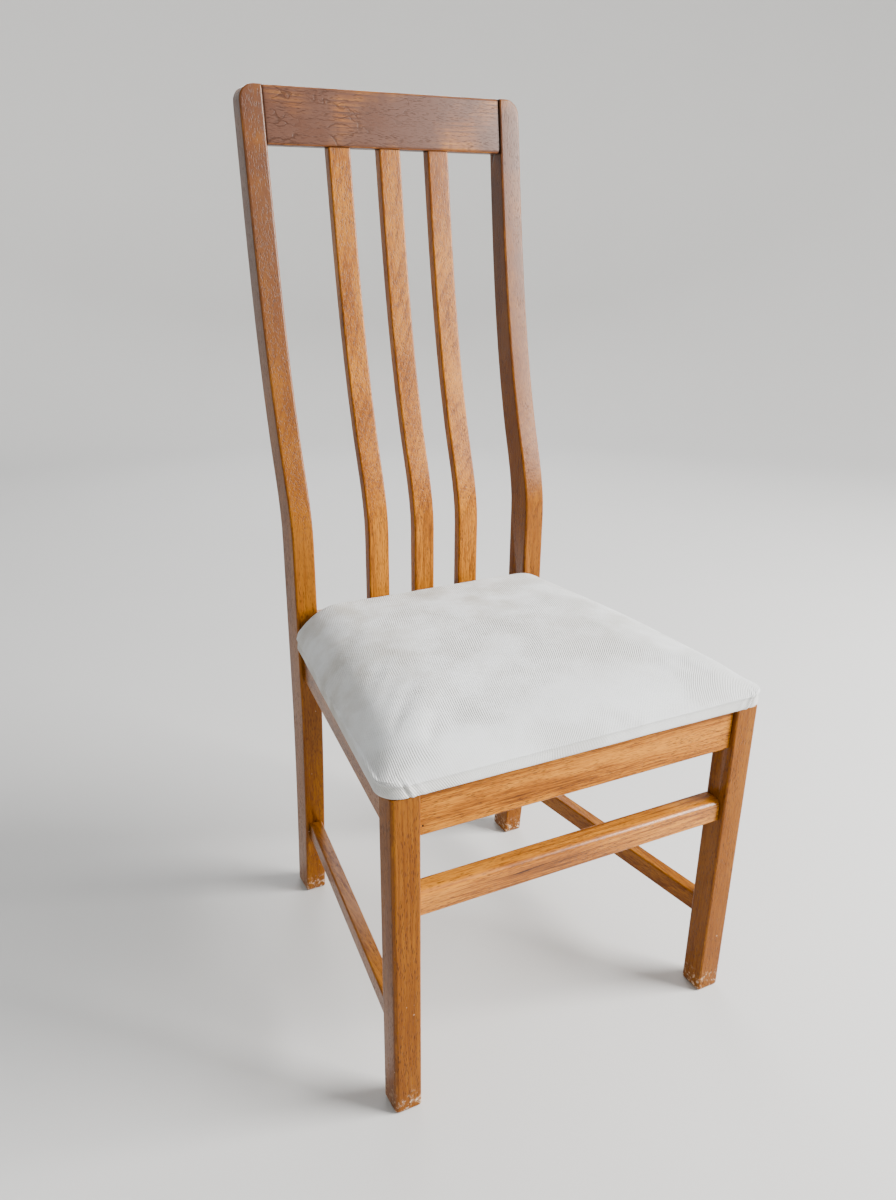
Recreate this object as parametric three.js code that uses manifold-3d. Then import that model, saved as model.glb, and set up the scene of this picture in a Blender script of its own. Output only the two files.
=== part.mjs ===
// Dining chair: slatted back between S-curved rear posts, square front legs, box stretchers,
// tenoned and dowelled joints, corner blocks under the seat and a loose upholstered pad on top.
// Millimetres, +Z up. The chair faces -Y; y = 0 is the front face of the front legs until the
// finished chair is centred over the origin at the end of the file.
import * as THREE from 'three';
import { mergeVertices } from 'three/addons/utils/BufferGeometryUtils.js';
import Module from 'manifold-3d';

const wasm = await Module();
wasm.setup();

// ---- Driving dimensions ----------------------------------------------------

// Overall
const SEAT_FRAME_HEIGHT = 407;
const BACK_HEIGHT = 1063;
const FRONT_WIDTH = 461;
const REAR_WIDTH = 371;
const SEAT_DEPTH = 392;

// Rounding shared by the show wood: long edges, ends at the joints, and steps in a quarter turn
const EDGE_ROUND = 3;
const END_ROUND = 1.5;
const ROUND_STEPS = 3;

// Front legs
const LEG_SIZE = 32;
const LEG_OUTER_ROUND = 5;
const FOOT_EASE = 4;

// Rear posts: width across, depth front to back at three heights, and the S curve
const POST_WIDTH = 28.8;
const POST_DEPTH_FLOOR = 38;
const POST_DEPTH_SEAT = 43;
const POST_DEPTH_TOP = 29;
const POST_TOP_RADIUS = 18;
const REAR_FOOT_RAKE = 24;
const RAKE_BELOW_SEAT = 107;
const BEND_ABOVE_SEAT = 133;
const BEND_RISE = 130;
const BEND_RUN = 33;
const BEND_SLOPE = 0.3;
const TOP_RUN = 105;
const TOP_SLOPE = 0.137;

// Seat rails
const FRONT_RAIL_HEIGHT = 52;
const FRONT_RAIL_THICKNESS = 20;
const FRONT_RAIL_SETBACK = 5.5;
const SIDE_RAIL_HEIGHT = 50;
const SIDE_RAIL_THICKNESS = 20;
const SIDE_RAIL_INSET = 5.6;
const RAIL_INNER_ROUND = 1;
const REAR_RAIL_THICKNESS = 22;
const REAR_RAIL_DROP = 52;
const REAR_RAIL_RISE = 38;

// Back
const BACK_SETBACK = 2.8;
const CREST_HEIGHT = 63;
const CREST_THICKNESS = 22;
const CREST_LOWER_ROUND = 4;
const SLAT_WIDTH = 28.8;
const SLAT_THICKNESS = 15.4;
const SLAT_PITCH = 66.5;
const SLAT_ROUND = 2.5;
const SLAT_NAMES = ['slat_left', 'slat_middle', 'slat_right'];

// Stretchers
const FRONT_STRETCHER_BOTTOM = 256;
const FRONT_STRETCHER_HEIGHT = 29;
const FRONT_STRETCHER_THICKNESS = 24.5;
const FRONT_STRETCHER_SETBACK = 7;
const FRONT_STRETCHER_ROUND = 8;
const STRETCHER_ROUND = 2.5;
const SIDE_STRETCHER_BOTTOM = 100.5;
const SIDE_STRETCHER_HEIGHT = 26;
const SIDE_STRETCHER_THICKNESS = 17.6;
const SIDE_STRETCHER_INSET = 6;

// Joints
const JOINT_GAP = 0.3;
const ROOT = 1;
const TENON_THICKNESS = 8;
const TENON_SHOULDER = 9;
const FRONT_TENON_LENGTH = 18;
const SIDE_TENON_LENGTH = 12;
const REAR_TENON_LENGTH = 16;
const REAR_TENON_SETBACK = 10.7;
const FRONT_TENON_SETBACK = 4;
const STRETCHER_TENON_LENGTH = 15;
const STRETCHER_TENON_SHOULDER = 5;
const SLAT_TENON_LENGTH = 14;
const SLAT_TENON_SHOULDER = 3.2;
const TENON_CORNER_ROUND = 0.8;
const DOWEL_RADIUS = 4;
const DOWEL_LENGTH = 36;
const DOWEL_EDGE_DISTANCE = 18;

// Corner blocks and screws
const BLOCK_HEIGHT = 22;
const BLOCK_DROP = 7;
const BLOCK_REACH = 56;
const BLOCK_NOTCH_CLEARANCE = 4.5;
const BLOCK_SCREW_OFFSET = 26;
const BLOCK_SCREW_SIDE_OFFSET = 10;
const BLOCK_SCREW_STAGGER = 5.5;
const BLOCK_SCREW_BITE = 12;
const SEAT_SCREW_OFFSET_X = 10;
const SEAT_SCREW_OFFSET_Y = 22;
const SEAT_SCREW_BITE = 8;
const SCREW_SHANK_RADIUS = 2;
const SCREW_HEAD_RADIUS = 3.8;
const SCREW_HEAD_HEIGHT = 2.5;
const SCREW_SIDES = 12;

// Seat pad: plywood board, foam and stretched cover
const PAD_OVERHANG_SIDE = 9.5;
const PAD_OVERHANG_REAR = 6.5;
const PAD_OVERHANG_FRONT = 4;
const PAD_REAR_CLEARANCE = 0.7;
const PAD_FRONT_RADIUS = 24;
const PAD_REAR_RADIUS = 14;
const PAD_BORDER = 18;
const PAD_FRONT_RISE = 40;
const PAD_CROWN_RISE = 60;
const PAD_CROWN_DEPTH = 260;
const PAD_FRONT_ROLL = 48;
const PAD_EDGE_ROLL = 20;
const COVER_THICKNESS = 1.3;
const COVER_TURN_UNDER = 16;
const COVER_TUCK = 5.5;
const BOARD_THICKNESS = 12;
const BOARD_INSET = 7.2;

// ---- Positions worked out from the dimensions -------------------------------

const legInner = FRONT_WIDTH / 2 - LEG_SIZE;
const postInner = REAR_WIDTH / 2 - POST_WIDTH;
const frontRailBottom = SEAT_FRAME_HEIGHT - FRONT_RAIL_HEIGHT;
const sideRailBottom = SEAT_FRAME_HEIGHT - SIDE_RAIL_HEIGHT;
const rearRailBottom = SEAT_FRAME_HEIGHT - REAR_RAIL_DROP;
const rearRailTop = SEAT_FRAME_HEIGHT + REAR_RAIL_RISE;
const rearRailFront = SEAT_DEPTH + BACK_SETBACK;
const crestBottom = BACK_HEIGHT - CREST_HEIGHT;
const rakeTop = SEAT_FRAME_HEIGHT - RAKE_BELOW_SEAT;
const bendStart = SEAT_FRAME_HEIGHT + BEND_ABOVE_SEAT;
const bendEnd = bendStart + BEND_RISE;

function halfWidthAt(y) {
  const t = (y - LEG_SIZE) / (SEAT_DEPTH - LEG_SIZE);
  return THREE.MathUtils.lerp(FRONT_WIDTH / 2, REAR_WIDTH / 2, t);
}

function sideRailInner(y) {
  return halfWidthAt(y) - SIDE_RAIL_INSET - SIDE_RAIL_THICKNESS;
}

// ---- The curve of the back ---------------------------------------------------

function backCurve() {
  const foot = new THREE.Vector2(SEAT_DEPTH + REAR_FOOT_RAKE, 0);
  const knee = new THREE.Vector2(SEAT_DEPTH, rakeTop);
  const start = new THREE.Vector2(SEAT_DEPTH, bendStart);
  const middle = new THREE.Vector2(SEAT_DEPTH + BEND_RUN, bendEnd);
  const top = new THREE.Vector2(SEAT_DEPTH + TOP_RUN, BACK_HEIGHT);
  const lowerHandle = BEND_RISE / 3;
  const upperHandle = (BACK_HEIGHT - bendEnd) / 3;
  const lowerBend = new THREE.CubicBezierCurve(
    start,
    new THREE.Vector2(start.x, start.y + lowerHandle),
    new THREE.Vector2(middle.x - BEND_SLOPE * lowerHandle, middle.y - lowerHandle),
    middle,
  );
  const upperSweep = new THREE.CubicBezierCurve(
    middle,
    new THREE.Vector2(middle.x + BEND_SLOPE * upperHandle, middle.y + upperHandle),
    new THREE.Vector2(top.x - TOP_SLOPE * upperHandle, top.y - upperHandle),
    top,
  );
  const lowerLeg = new THREE.QuadraticBezierCurve(
    foot,
    new THREE.Vector2(SEAT_DEPTH + 0.2 * REAR_FOOT_RAKE, 0.6 * rakeTop),
    knee,
  );
  return [
    ...lowerLeg.getPoints(6),
    ...lowerBend.getPoints(7),
    ...upperSweep.getPoints(9).slice(1),
  ];
}

const backLine = backCurve();

function backFaceAt(z) {
  const next = Math.min(backLine.findIndex((p) => p.y >= z) + backLine.length, 2 * backLine.length - 1);
  const i = Math.max(1, next % backLine.length);
  const a = backLine[i - 1];
  const b = backLine[i];
  return a.x + ((b.x - a.x) * (z - a.y)) / (b.y - a.y);
}

function postDepthAt(z) {
  if (z <= rakeTop) return THREE.MathUtils.lerp(POST_DEPTH_FLOOR, POST_DEPTH_SEAT, z / rakeTop);
  const t = Math.max(0, (z - bendStart) / (BACK_HEIGHT - bendStart));
  return THREE.MathUtils.lerp(POST_DEPTH_SEAT, POST_DEPTH_TOP, t);
}

// ---- Solids -------------------------------------------------------------------

function toSolid(geometry) {
  const bare = geometry.clone();
  bare.deleteAttribute('normal');
  bare.deleteAttribute('uv');
  const merged = mergeVertices(bare, 1e-4);
  const corners = merged.index.array;
  const faces = [];
  for (let i = 0; i < corners.length; i += 3) {
    const [a, b, c] = corners.slice(i, i + 3);
    if (a !== b && b !== c && c !== a) faces.push(a, b, c);
  }
  const mesh = new wasm.Mesh({
    numProp: 3,
    vertProperties: new Float32Array(merged.attributes.position.array),
    triVerts: new Uint32Array(faces),
  });
  return new wasm.Manifold(mesh);
}

function toGeometry(solid) {
  const mesh = solid.getMesh();
  const geometry = new THREE.BufferGeometry();
  geometry.setAttribute('position', new THREE.BufferAttribute(new Float32Array(mesh.vertProperties), 3));
  geometry.setIndex(new THREE.BufferAttribute(new Uint32Array(mesh.triVerts), 1));
  geometry.computeVertexNormals();
  return geometry;
}

// A box from its limits on each axis, given in either order.
function boxSolid([x0, x1], [y0, y1], [z0, z1]) {
  const geometry = new THREE.BoxGeometry(Math.abs(x1 - x0), Math.abs(y1 - y0), Math.abs(z1 - z0));
  geometry.translate((x0 + x1) / 2, (y0 + y1) / 2, (z0 + z1) / 2);
  return toSolid(geometry);
}

function extrude(points, depth) {
  const shape = new THREE.Shape(points);
  return new THREE.ExtrudeGeometry(shape, { depth, bevelEnabled: false, steps: 1 });
}

// A plan outline raised from z0 to z1.
function planSolid(points, z0, z1) {
  const geometry = extrude(points, z1 - z0);
  geometry.translate(0, 0, z0);
  return toSolid(geometry);
}

// A closed body through rings of points that all have the same count, capped at both ends.
function ringSolid(rings) {
  const count = rings[0].length;
  const points = rings.flat();
  const middles = [rings[0], rings[rings.length - 1]].map((ring) => {
    const middle = ring.reduce((sum, p) => sum.add(p), new THREE.Vector3()).divideScalar(count);
    return points.push(middle) - 1;
  });
  const lastRing = (rings.length - 1) * count;
  const faces = [];
  for (let k = 0; k < count; k += 1) {
    const next = (k + 1) % count;
    faces.push([middles[0], next, k], [lastRing + k, lastRing + next, middles[1]]);
    for (let low = 0; low < lastRing; low += count) {
      const high = low + count;
      faces.push([low + k, low + next, high + next], [low + k, high + next, high + k]);
    }
  }
  const volume = faces.reduce((sum, [a, b, c]) => (
    sum + points[a].dot(new THREE.Vector3().crossVectors(points[b], points[c]))
  ), 0);
  if (volume < 0) faces.forEach((face) => face.reverse());
  const mesh = new wasm.Mesh({
    numProp: 3,
    vertProperties: new Float32Array(points.flatMap((p) => [p.x, p.y, p.z])),
    triVerts: new Uint32Array(faces.flat()),
  });
  return new wasm.Manifold(mesh);
}

// A rectangle with rounded corners as [u, v] points; the radii run from the low u, low v corner
// to high u, low v, to high u, high v, to low u, high v.
function roundedRectangle([u0, u1], [v0, v1], radii, inset) {
  const corners = [[u0, v0, 1, 1], [u1, v0, -1, 1], [u1, v1, -1, -1], [u0, v1, 1, -1]];
  return corners.flatMap(([u, v, inU, inV], i) => {
    const r = Math.max(radii[i] - inset, 0.2);
    const start = Math.PI + (i * Math.PI) / 2;
    return Array.from({ length: ROUND_STEPS + 1 }, (_, k) => {
      const angle = start + (k / ROUND_STEPS) * (Math.PI / 2);
      return [u + inU * (inset + r) + r * Math.cos(angle), v + inV * (inset + r) + r * Math.sin(angle)];
    });
  });
}

// A bar lofted along t from a to b. sectionAt(t) gives the ranges of u and v there, place(u, v, t)
// puts a point in the chair, and the ends are eased by the two radii in easing.
function loftedBar({ a, b, stops = [], sectionAt, place, radii, easing }) {
  const eased = (end, inward, r) => Array.from({ length: ROUND_STEPS + 1 }, (_, k) => {
    const angle = (k / ROUND_STEPS) * (Math.PI / 2);
    return { t: end + inward * r * (1 - Math.cos(angle)), inset: r * (1 - Math.sin(angle)) };
  });
  const first = eased(a, 1, easing[0]);
  const last = eased(b, -1, easing[1]).reverse();
  const between = stops
    .filter((t) => t > a + easing[0] + ROOT && t < b - easing[1] - ROOT)
    .map((t) => ({ t, inset: 0 }));
  return ringSolid([...first, ...between, ...last].map(({ t, inset }) => {
    const [u, v] = sectionAt(t);
    return roundedRectangle(u, v, radii, inset).map(([x, y]) => place(x, y, t));
  }));
}

// An upright bar that follows the curve of the back; its depth is counted from the front face.
function uprightBar({ across, bottom, top, setback, depthAt, stops = [], radii, easing }) {
  return loftedBar({
    a: bottom,
    b: top,
    stops: [...backLine.map((p) => p.y), ...stops].sort((p, q) => p - q),
    sectionAt: (z) => [across(z), [0, depthAt(z)]],
    place: (x, depth, z) => new THREE.Vector3(x, backFaceAt(z) + setback + depth, z),
    radii,
    easing,
  });
}

// A level bar from side to side, square to the chair's centre line.
function crosswiseBar({ half, depth, height, radii }) {
  return loftedBar({
    a: -half,
    b: half,
    sectionAt: () => [depth, height],
    place: (y, z, x) => new THREE.Vector3(x, y, z),
    radii,
    easing: [END_ROUND, END_ROUND],
  });
}

// A level bar from a front leg to a rear post. Its outer face lies outerAt(y) from the centre line,
// and its rear end is cut to the face of the post.
function lengthwiseBar({ side, outerAt, thickness, height, gap, radii }) {
  return loftedBar({
    a: LEG_SIZE,
    b: SEAT_DEPTH,
    sectionAt: () => [[0, thickness], height],
    place: (depth, z, t) => {
      const y = THREE.MathUtils.mapLinear(t, LEG_SIZE, SEAT_DEPTH, LEG_SIZE, backFaceAt(z) - gap);
      return new THREE.Vector3(side * (outerAt(y) - depth), y, z);
    },
    radii,
    easing: [END_ROUND, END_ROUND],
  });
}

// A turned piece from its outline of [radius, distance] pairs, pointing along a direction.
function turnedSolid(outline, start, direction) {
  const points = outline.map(([r, d]) => new THREE.Vector2(r, d));
  const geometry = new THREE.LatheGeometry(points, SCREW_SIDES);
  const turn = new THREE.Quaternion().setFromUnitVectors(new THREE.Vector3(0, 1, 0), direction);
  geometry.applyQuaternion(turn);
  geometry.translate(start.x, start.y, start.z);
  return toSolid(geometry);
}

// The same piece on the other side of the chair.
function mirrored(solid) {
  const geometry = toGeometry(solid);
  geometry.scale(-1, 1, 1);
  geometry.index.array.reverse();
  return toSolid(geometry);
}

// ---- Tenons, each as its limits, for the piece it grows from and the mortise it enters ----

function grow([a, b], by) {
  return [Math.min(a, b) - by, Math.max(a, b) + by];
}

function mortise(limits) {
  return boxSolid(...limits.map((range) => grow(range, JOINT_GAP)));
}

function frontRailTenon(side) {
  const y = FRONT_RAIL_SETBACK + FRONT_TENON_SETBACK;
  return [
    [side * (legInner - ROOT), side * (legInner + FRONT_TENON_LENGTH)],
    [y, y + TENON_THICKNESS],
    [frontRailBottom + TENON_SHOULDER, SEAT_FRAME_HEIGHT - TENON_SHOULDER],
  ];
}

function sideRailTenon(side, y, reach) {
  const middle = halfWidthAt(y) - SIDE_RAIL_INSET - SIDE_RAIL_THICKNESS / 2;
  return [
    [side * (middle - TENON_THICKNESS / 2), side * (middle + TENON_THICKNESS / 2)],
    [y - Math.sign(reach) * ROOT, y + reach],
    [sideRailBottom + TENON_SHOULDER, SEAT_FRAME_HEIGHT - TENON_SHOULDER],
  ];
}

function rearRailTenon(side) {
  const y = rearRailFront + REAR_TENON_SETBACK;
  return [
    [side * (postInner - ROOT), side * (postInner + REAR_TENON_LENGTH)],
    [y, y + TENON_THICKNESS],
    [rearRailBottom + TENON_SHOULDER, rearRailTop - TENON_SHOULDER],
  ];
}

function frontStretcherTenon(side) {
  const y = FRONT_STRETCHER_SETBACK + STRETCHER_TENON_SHOULDER;
  const depth = FRONT_STRETCHER_THICKNESS - 2 * STRETCHER_TENON_SHOULDER;
  const top = FRONT_STRETCHER_BOTTOM + FRONT_STRETCHER_HEIGHT;
  return [
    [side * (legInner - ROOT), side * (legInner + STRETCHER_TENON_LENGTH)],
    [y, y + depth],
    [FRONT_STRETCHER_BOTTOM + STRETCHER_TENON_SHOULDER, top - STRETCHER_TENON_SHOULDER],
  ];
}

const sideStretcherMiddle = SIDE_STRETCHER_BOTTOM + SIDE_STRETCHER_HEIGHT / 2;
const sideStretcherRear = backFaceAt(sideStretcherMiddle);

function sideStretcherOuter(y) {
  const t = (y - LEG_SIZE) / (sideStretcherRear - LEG_SIZE);
  return THREE.MathUtils.lerp(FRONT_WIDTH / 2, REAR_WIDTH / 2, t) - SIDE_STRETCHER_INSET;
}

function sideStretcherTenon(side, y, reach) {
  const middle = sideStretcherOuter(y) - SIDE_STRETCHER_THICKNESS / 2;
  const top = SIDE_STRETCHER_BOTTOM + SIDE_STRETCHER_HEIGHT;
  return [
    [side * (middle - TENON_THICKNESS / 2), side * (middle + TENON_THICKNESS / 2)],
    [y - Math.sign(reach) * (ROOT + 2), y + reach],
    [SIDE_STRETCHER_BOTTOM + STRETCHER_TENON_SHOULDER, top - STRETCHER_TENON_SHOULDER],
  ];
}

const SIDE_FRONT = [LEG_SIZE, -SIDE_TENON_LENGTH];
const SIDE_REAR = [SEAT_DEPTH, SIDE_TENON_LENGTH];
const STRETCHER_FRONT = [LEG_SIZE, -STRETCHER_TENON_LENGTH];
const STRETCHER_REAR = [sideStretcherRear, STRETCHER_TENON_LENGTH];

// ---- Frame pieces ---------------------------------------------------------------

// Square leg, more rounded on its outer front corner, with an eased foot.
function frontLeg(side) {
  const out = FRONT_WIDTH / 2;
  let leg = loftedBar({
    a: 0,
    b: SEAT_FRAME_HEIGHT,
    sectionAt: () => [[legInner, out], [0, LEG_SIZE]],
    place: (x, y, z) => new THREE.Vector3(side * x, y, z),
    radii: [EDGE_ROUND, LEG_OUTER_ROUND, EDGE_ROUND, EDGE_ROUND],
    easing: [FOOT_EASE, END_ROUND],
  });
  const tenons = [
    frontRailTenon(side),
    sideRailTenon(side, ...SIDE_FRONT),
    frontStretcherTenon(side),
    sideStretcherTenon(side, ...STRETCHER_FRONT),
  ];
  for (const tenon of tenons) leg = leg.subtract(mortise(tenon));
  return leg;
}

// Sawn S-shaped post with its outer top corner rounded off.
function rearPost(side) {
  const outer = REAR_WIDTH / 2;
  const roundFrom = BACK_HEIGHT - POST_TOP_RADIUS;
  const outerAt = (z) => {
    const rise = Math.max(0, z - roundFrom);
    return outer - POST_TOP_RADIUS + Math.sqrt(POST_TOP_RADIUS ** 2 - rise ** 2);
  };
  const topStops = [0, 1, 2, 3, 4, 5, 6].map((k) => (
    roundFrom + POST_TOP_RADIUS * Math.sin((k / 6) * (Math.PI / 2))
  ));
  let post = uprightBar({
    across: (z) => [postInner, outerAt(z)],
    bottom: 0,
    top: BACK_HEIGHT,
    setback: 0,
    depthAt: postDepthAt,
    stops: topStops,
    radii: [EDGE_ROUND, EDGE_ROUND, EDGE_ROUND, EDGE_ROUND],
    easing: [FOOT_EASE, END_ROUND],
  });
  if (side < 0) post = mirrored(post);
  post = post.subtract(mortise(sideRailTenon(side, ...SIDE_REAR)));
  post = post.subtract(mortise(rearRailTenon(side)));
  post = post.subtract(mortise(sideStretcherTenon(side, ...STRETCHER_REAR)));
  for (const z of dowelHeights) post = post.subtract(dowelSolid(side, z, JOINT_GAP));
  return post;
}

const dowelHeights = [crestBottom + DOWEL_EDGE_DISTANCE, BACK_HEIGHT - DOWEL_EDGE_DISTANCE];

function dowelSolid(side, z, gap) {
  const half = DOWEL_LENGTH / 2 + gap;
  const y = backFaceAt(z) + BACK_SETBACK + CREST_THICKNESS / 2;
  const outline = [[0, -half], [DOWEL_RADIUS + gap, -half], [DOWEL_RADIUS + gap, half], [0, half]];
  return turnedSolid(outline, new THREE.Vector3(side * postInner, y, z), new THREE.Vector3(side, 0, 0));
}

function frontRail() {
  let rail = crosswiseBar({
    half: legInner,
    depth: [FRONT_RAIL_SETBACK, FRONT_RAIL_SETBACK + FRONT_RAIL_THICKNESS],
    height: [frontRailBottom, SEAT_FRAME_HEIGHT],
    radii: [EDGE_ROUND, RAIL_INNER_ROUND, RAIL_INNER_ROUND, EDGE_ROUND],
  });
  for (const side of [-1, 1]) rail = rail.add(boxSolid(...frontRailTenon(side)));
  for (const side of [-1, 1]) rail = rail.subtract(cornerAt(side, 'front').railScrewHole);
  return rail;
}

function sideRail(side) {
  let rail = lengthwiseBar({
    side,
    outerAt: (y) => halfWidthAt(y) - SIDE_RAIL_INSET,
    thickness: SIDE_RAIL_THICKNESS,
    height: [sideRailBottom, SEAT_FRAME_HEIGHT],
    gap: 0,
    radii: [EDGE_ROUND, RAIL_INNER_ROUND, RAIL_INNER_ROUND, EDGE_ROUND],
  });
  rail = rail.add(boxSolid(...sideRailTenon(side, ...SIDE_FRONT)));
  rail = rail.add(boxSolid(...sideRailTenon(side, ...SIDE_REAR)));
  for (const end of ['front', 'rear']) rail = rail.subtract(cornerAt(side, end).sideScrewHole);
  return rail;
}

function rearRail() {
  let rail = crosswiseBar({
    half: postInner,
    depth: [rearRailFront, rearRailFront + REAR_RAIL_THICKNESS],
    height: [rearRailBottom, rearRailTop],
    radii: [RAIL_INNER_ROUND, EDGE_ROUND, EDGE_ROUND, RAIL_INNER_ROUND],
  });
  for (const side of [-1, 1]) rail = rail.add(boxSolid(...rearRailTenon(side)));
  for (const side of [-1, 1]) rail = rail.subtract(cornerAt(side, 'rear').railScrewHole);
  for (const x of slatPlaces()) rail = rail.subtract(slatTenon(x, rearRailTop, -1, JOINT_GAP));
  return rail;
}

// ---- Back pieces ----------------------------------------------------------------

function slatPlaces() {
  const middle = (SLAT_NAMES.length - 1) / 2;
  return SLAT_NAMES.map((_, i) => (i - middle) * SLAT_PITCH);
}

// A slat's tenon at one end; the direction is -1 into the rear rail and 1 into the crest rail.
function slatTenon(x, z, direction, gap) {
  const half = SLAT_WIDTH / 2 - SLAT_TENON_SHOULDER + gap;
  const [bottom, top] = grow([z - direction * ROOT, z + direction * SLAT_TENON_LENGTH], gap);
  return uprightBar({
    across: () => [x - half, x + half],
    bottom,
    top,
    setback: BACK_SETBACK + SLAT_TENON_SHOULDER - gap,
    depthAt: () => SLAT_THICKNESS - 2 * SLAT_TENON_SHOULDER + 2 * gap,
    radii: Array(4).fill(TENON_CORNER_ROUND),
    easing: [TENON_CORNER_ROUND, TENON_CORNER_ROUND],
  });
}

function slat(x) {
  const bar = uprightBar({
    across: () => [x - SLAT_WIDTH / 2, x + SLAT_WIDTH / 2],
    bottom: rearRailTop,
    top: crestBottom,
    setback: BACK_SETBACK,
    depthAt: () => SLAT_THICKNESS,
    radii: Array(4).fill(SLAT_ROUND),
    easing: [TENON_CORNER_ROUND, TENON_CORNER_ROUND],
  });
  return bar.add(slatTenon(x, rearRailTop, -1, 0)).add(slatTenon(x, crestBottom, 1, 0));
}

// The crest rail leans with the back and is rounded more along its lower front edge.
function crestRail() {
  let rail = loftedBar({
    a: -postInner,
    b: postInner,
    sectionAt: () => [[0, CREST_THICKNESS], [crestBottom, BACK_HEIGHT]],
    place: (depth, z, x) => new THREE.Vector3(x, backFaceAt(z) + BACK_SETBACK + depth, z),
    radii: [CREST_LOWER_ROUND, EDGE_ROUND, EDGE_ROUND, EDGE_ROUND],
    easing: [END_ROUND, END_ROUND],
  });
  for (const x of slatPlaces()) rail = rail.subtract(slatTenon(x, crestBottom, 1, JOINT_GAP));
  for (const side of [-1, 1]) {
    for (const z of dowelHeights) rail = rail.subtract(dowelSolid(side, z, JOINT_GAP));
  }
  return rail;
}

// ---- Stretchers -------------------------------------------------------------------

// The front stretcher's upper front edge is rounded over.
function frontStretcher() {
  let bar = crosswiseBar({
    half: legInner,
    depth: [FRONT_STRETCHER_SETBACK, FRONT_STRETCHER_SETBACK + FRONT_STRETCHER_THICKNESS],
    height: [FRONT_STRETCHER_BOTTOM, FRONT_STRETCHER_BOTTOM + FRONT_STRETCHER_HEIGHT],
    radii: [STRETCHER_ROUND, STRETCHER_ROUND, STRETCHER_ROUND, FRONT_STRETCHER_ROUND],
  });
  for (const side of [-1, 1]) bar = bar.add(boxSolid(...frontStretcherTenon(side)));
  return bar;
}

// A side stretcher runs below its seat rail, from the front leg to the raked foot of the post.
function sideStretcher(side) {
  let bar = lengthwiseBar({
    side,
    outerAt: sideStretcherOuter,
    thickness: SIDE_STRETCHER_THICKNESS,
    height: [SIDE_STRETCHER_BOTTOM, SIDE_STRETCHER_BOTTOM + SIDE_STRETCHER_HEIGHT],
    gap: JOINT_GAP,
    radii: Array(4).fill(STRETCHER_ROUND),
  });
  bar = bar.add(boxSolid(...sideStretcherTenon(side, ...STRETCHER_FRONT)));
  return bar.add(boxSolid(...sideStretcherTenon(side, ...STRETCHER_REAR)));
}

// ---- Corner blocks and screws --------------------------------------------------------

const SCREW_TIP = 3;

// A countersink-free screw: the head's seat is at distance 0 and the shank runs forward.
function screwSolid(start, direction, length) {
  const outline = [
    [0, -SCREW_HEAD_HEIGHT],
    [SCREW_HEAD_RADIUS, -SCREW_HEAD_HEIGHT],
    [SCREW_HEAD_RADIUS, 0],
    [SCREW_SHANK_RADIUS, 0],
    [SCREW_SHANK_RADIUS, length - SCREW_TIP],
    [0, length],
  ];
  return turnedSolid(outline, start, direction);
}

function screwHole(start, direction, length) {
  const r = SCREW_SHANK_RADIUS + JOINT_GAP;
  const outline = [[0, -ROOT], [r, -ROOT], [r, length + JOINT_GAP], [0, length + JOINT_GAP]];
  return turnedSolid(outline, start, direction);
}

// Room for a screw's head, cut in from the block's diagonal face.
function headRoom(start, direction) {
  const r = SCREW_HEAD_RADIUS + JOINT_GAP;
  const outline = [[0, -BLOCK_REACH], [r, -BLOCK_REACH], [r, 0], [0, 0]];
  return turnedSolid(outline, start, direction);
}

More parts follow.
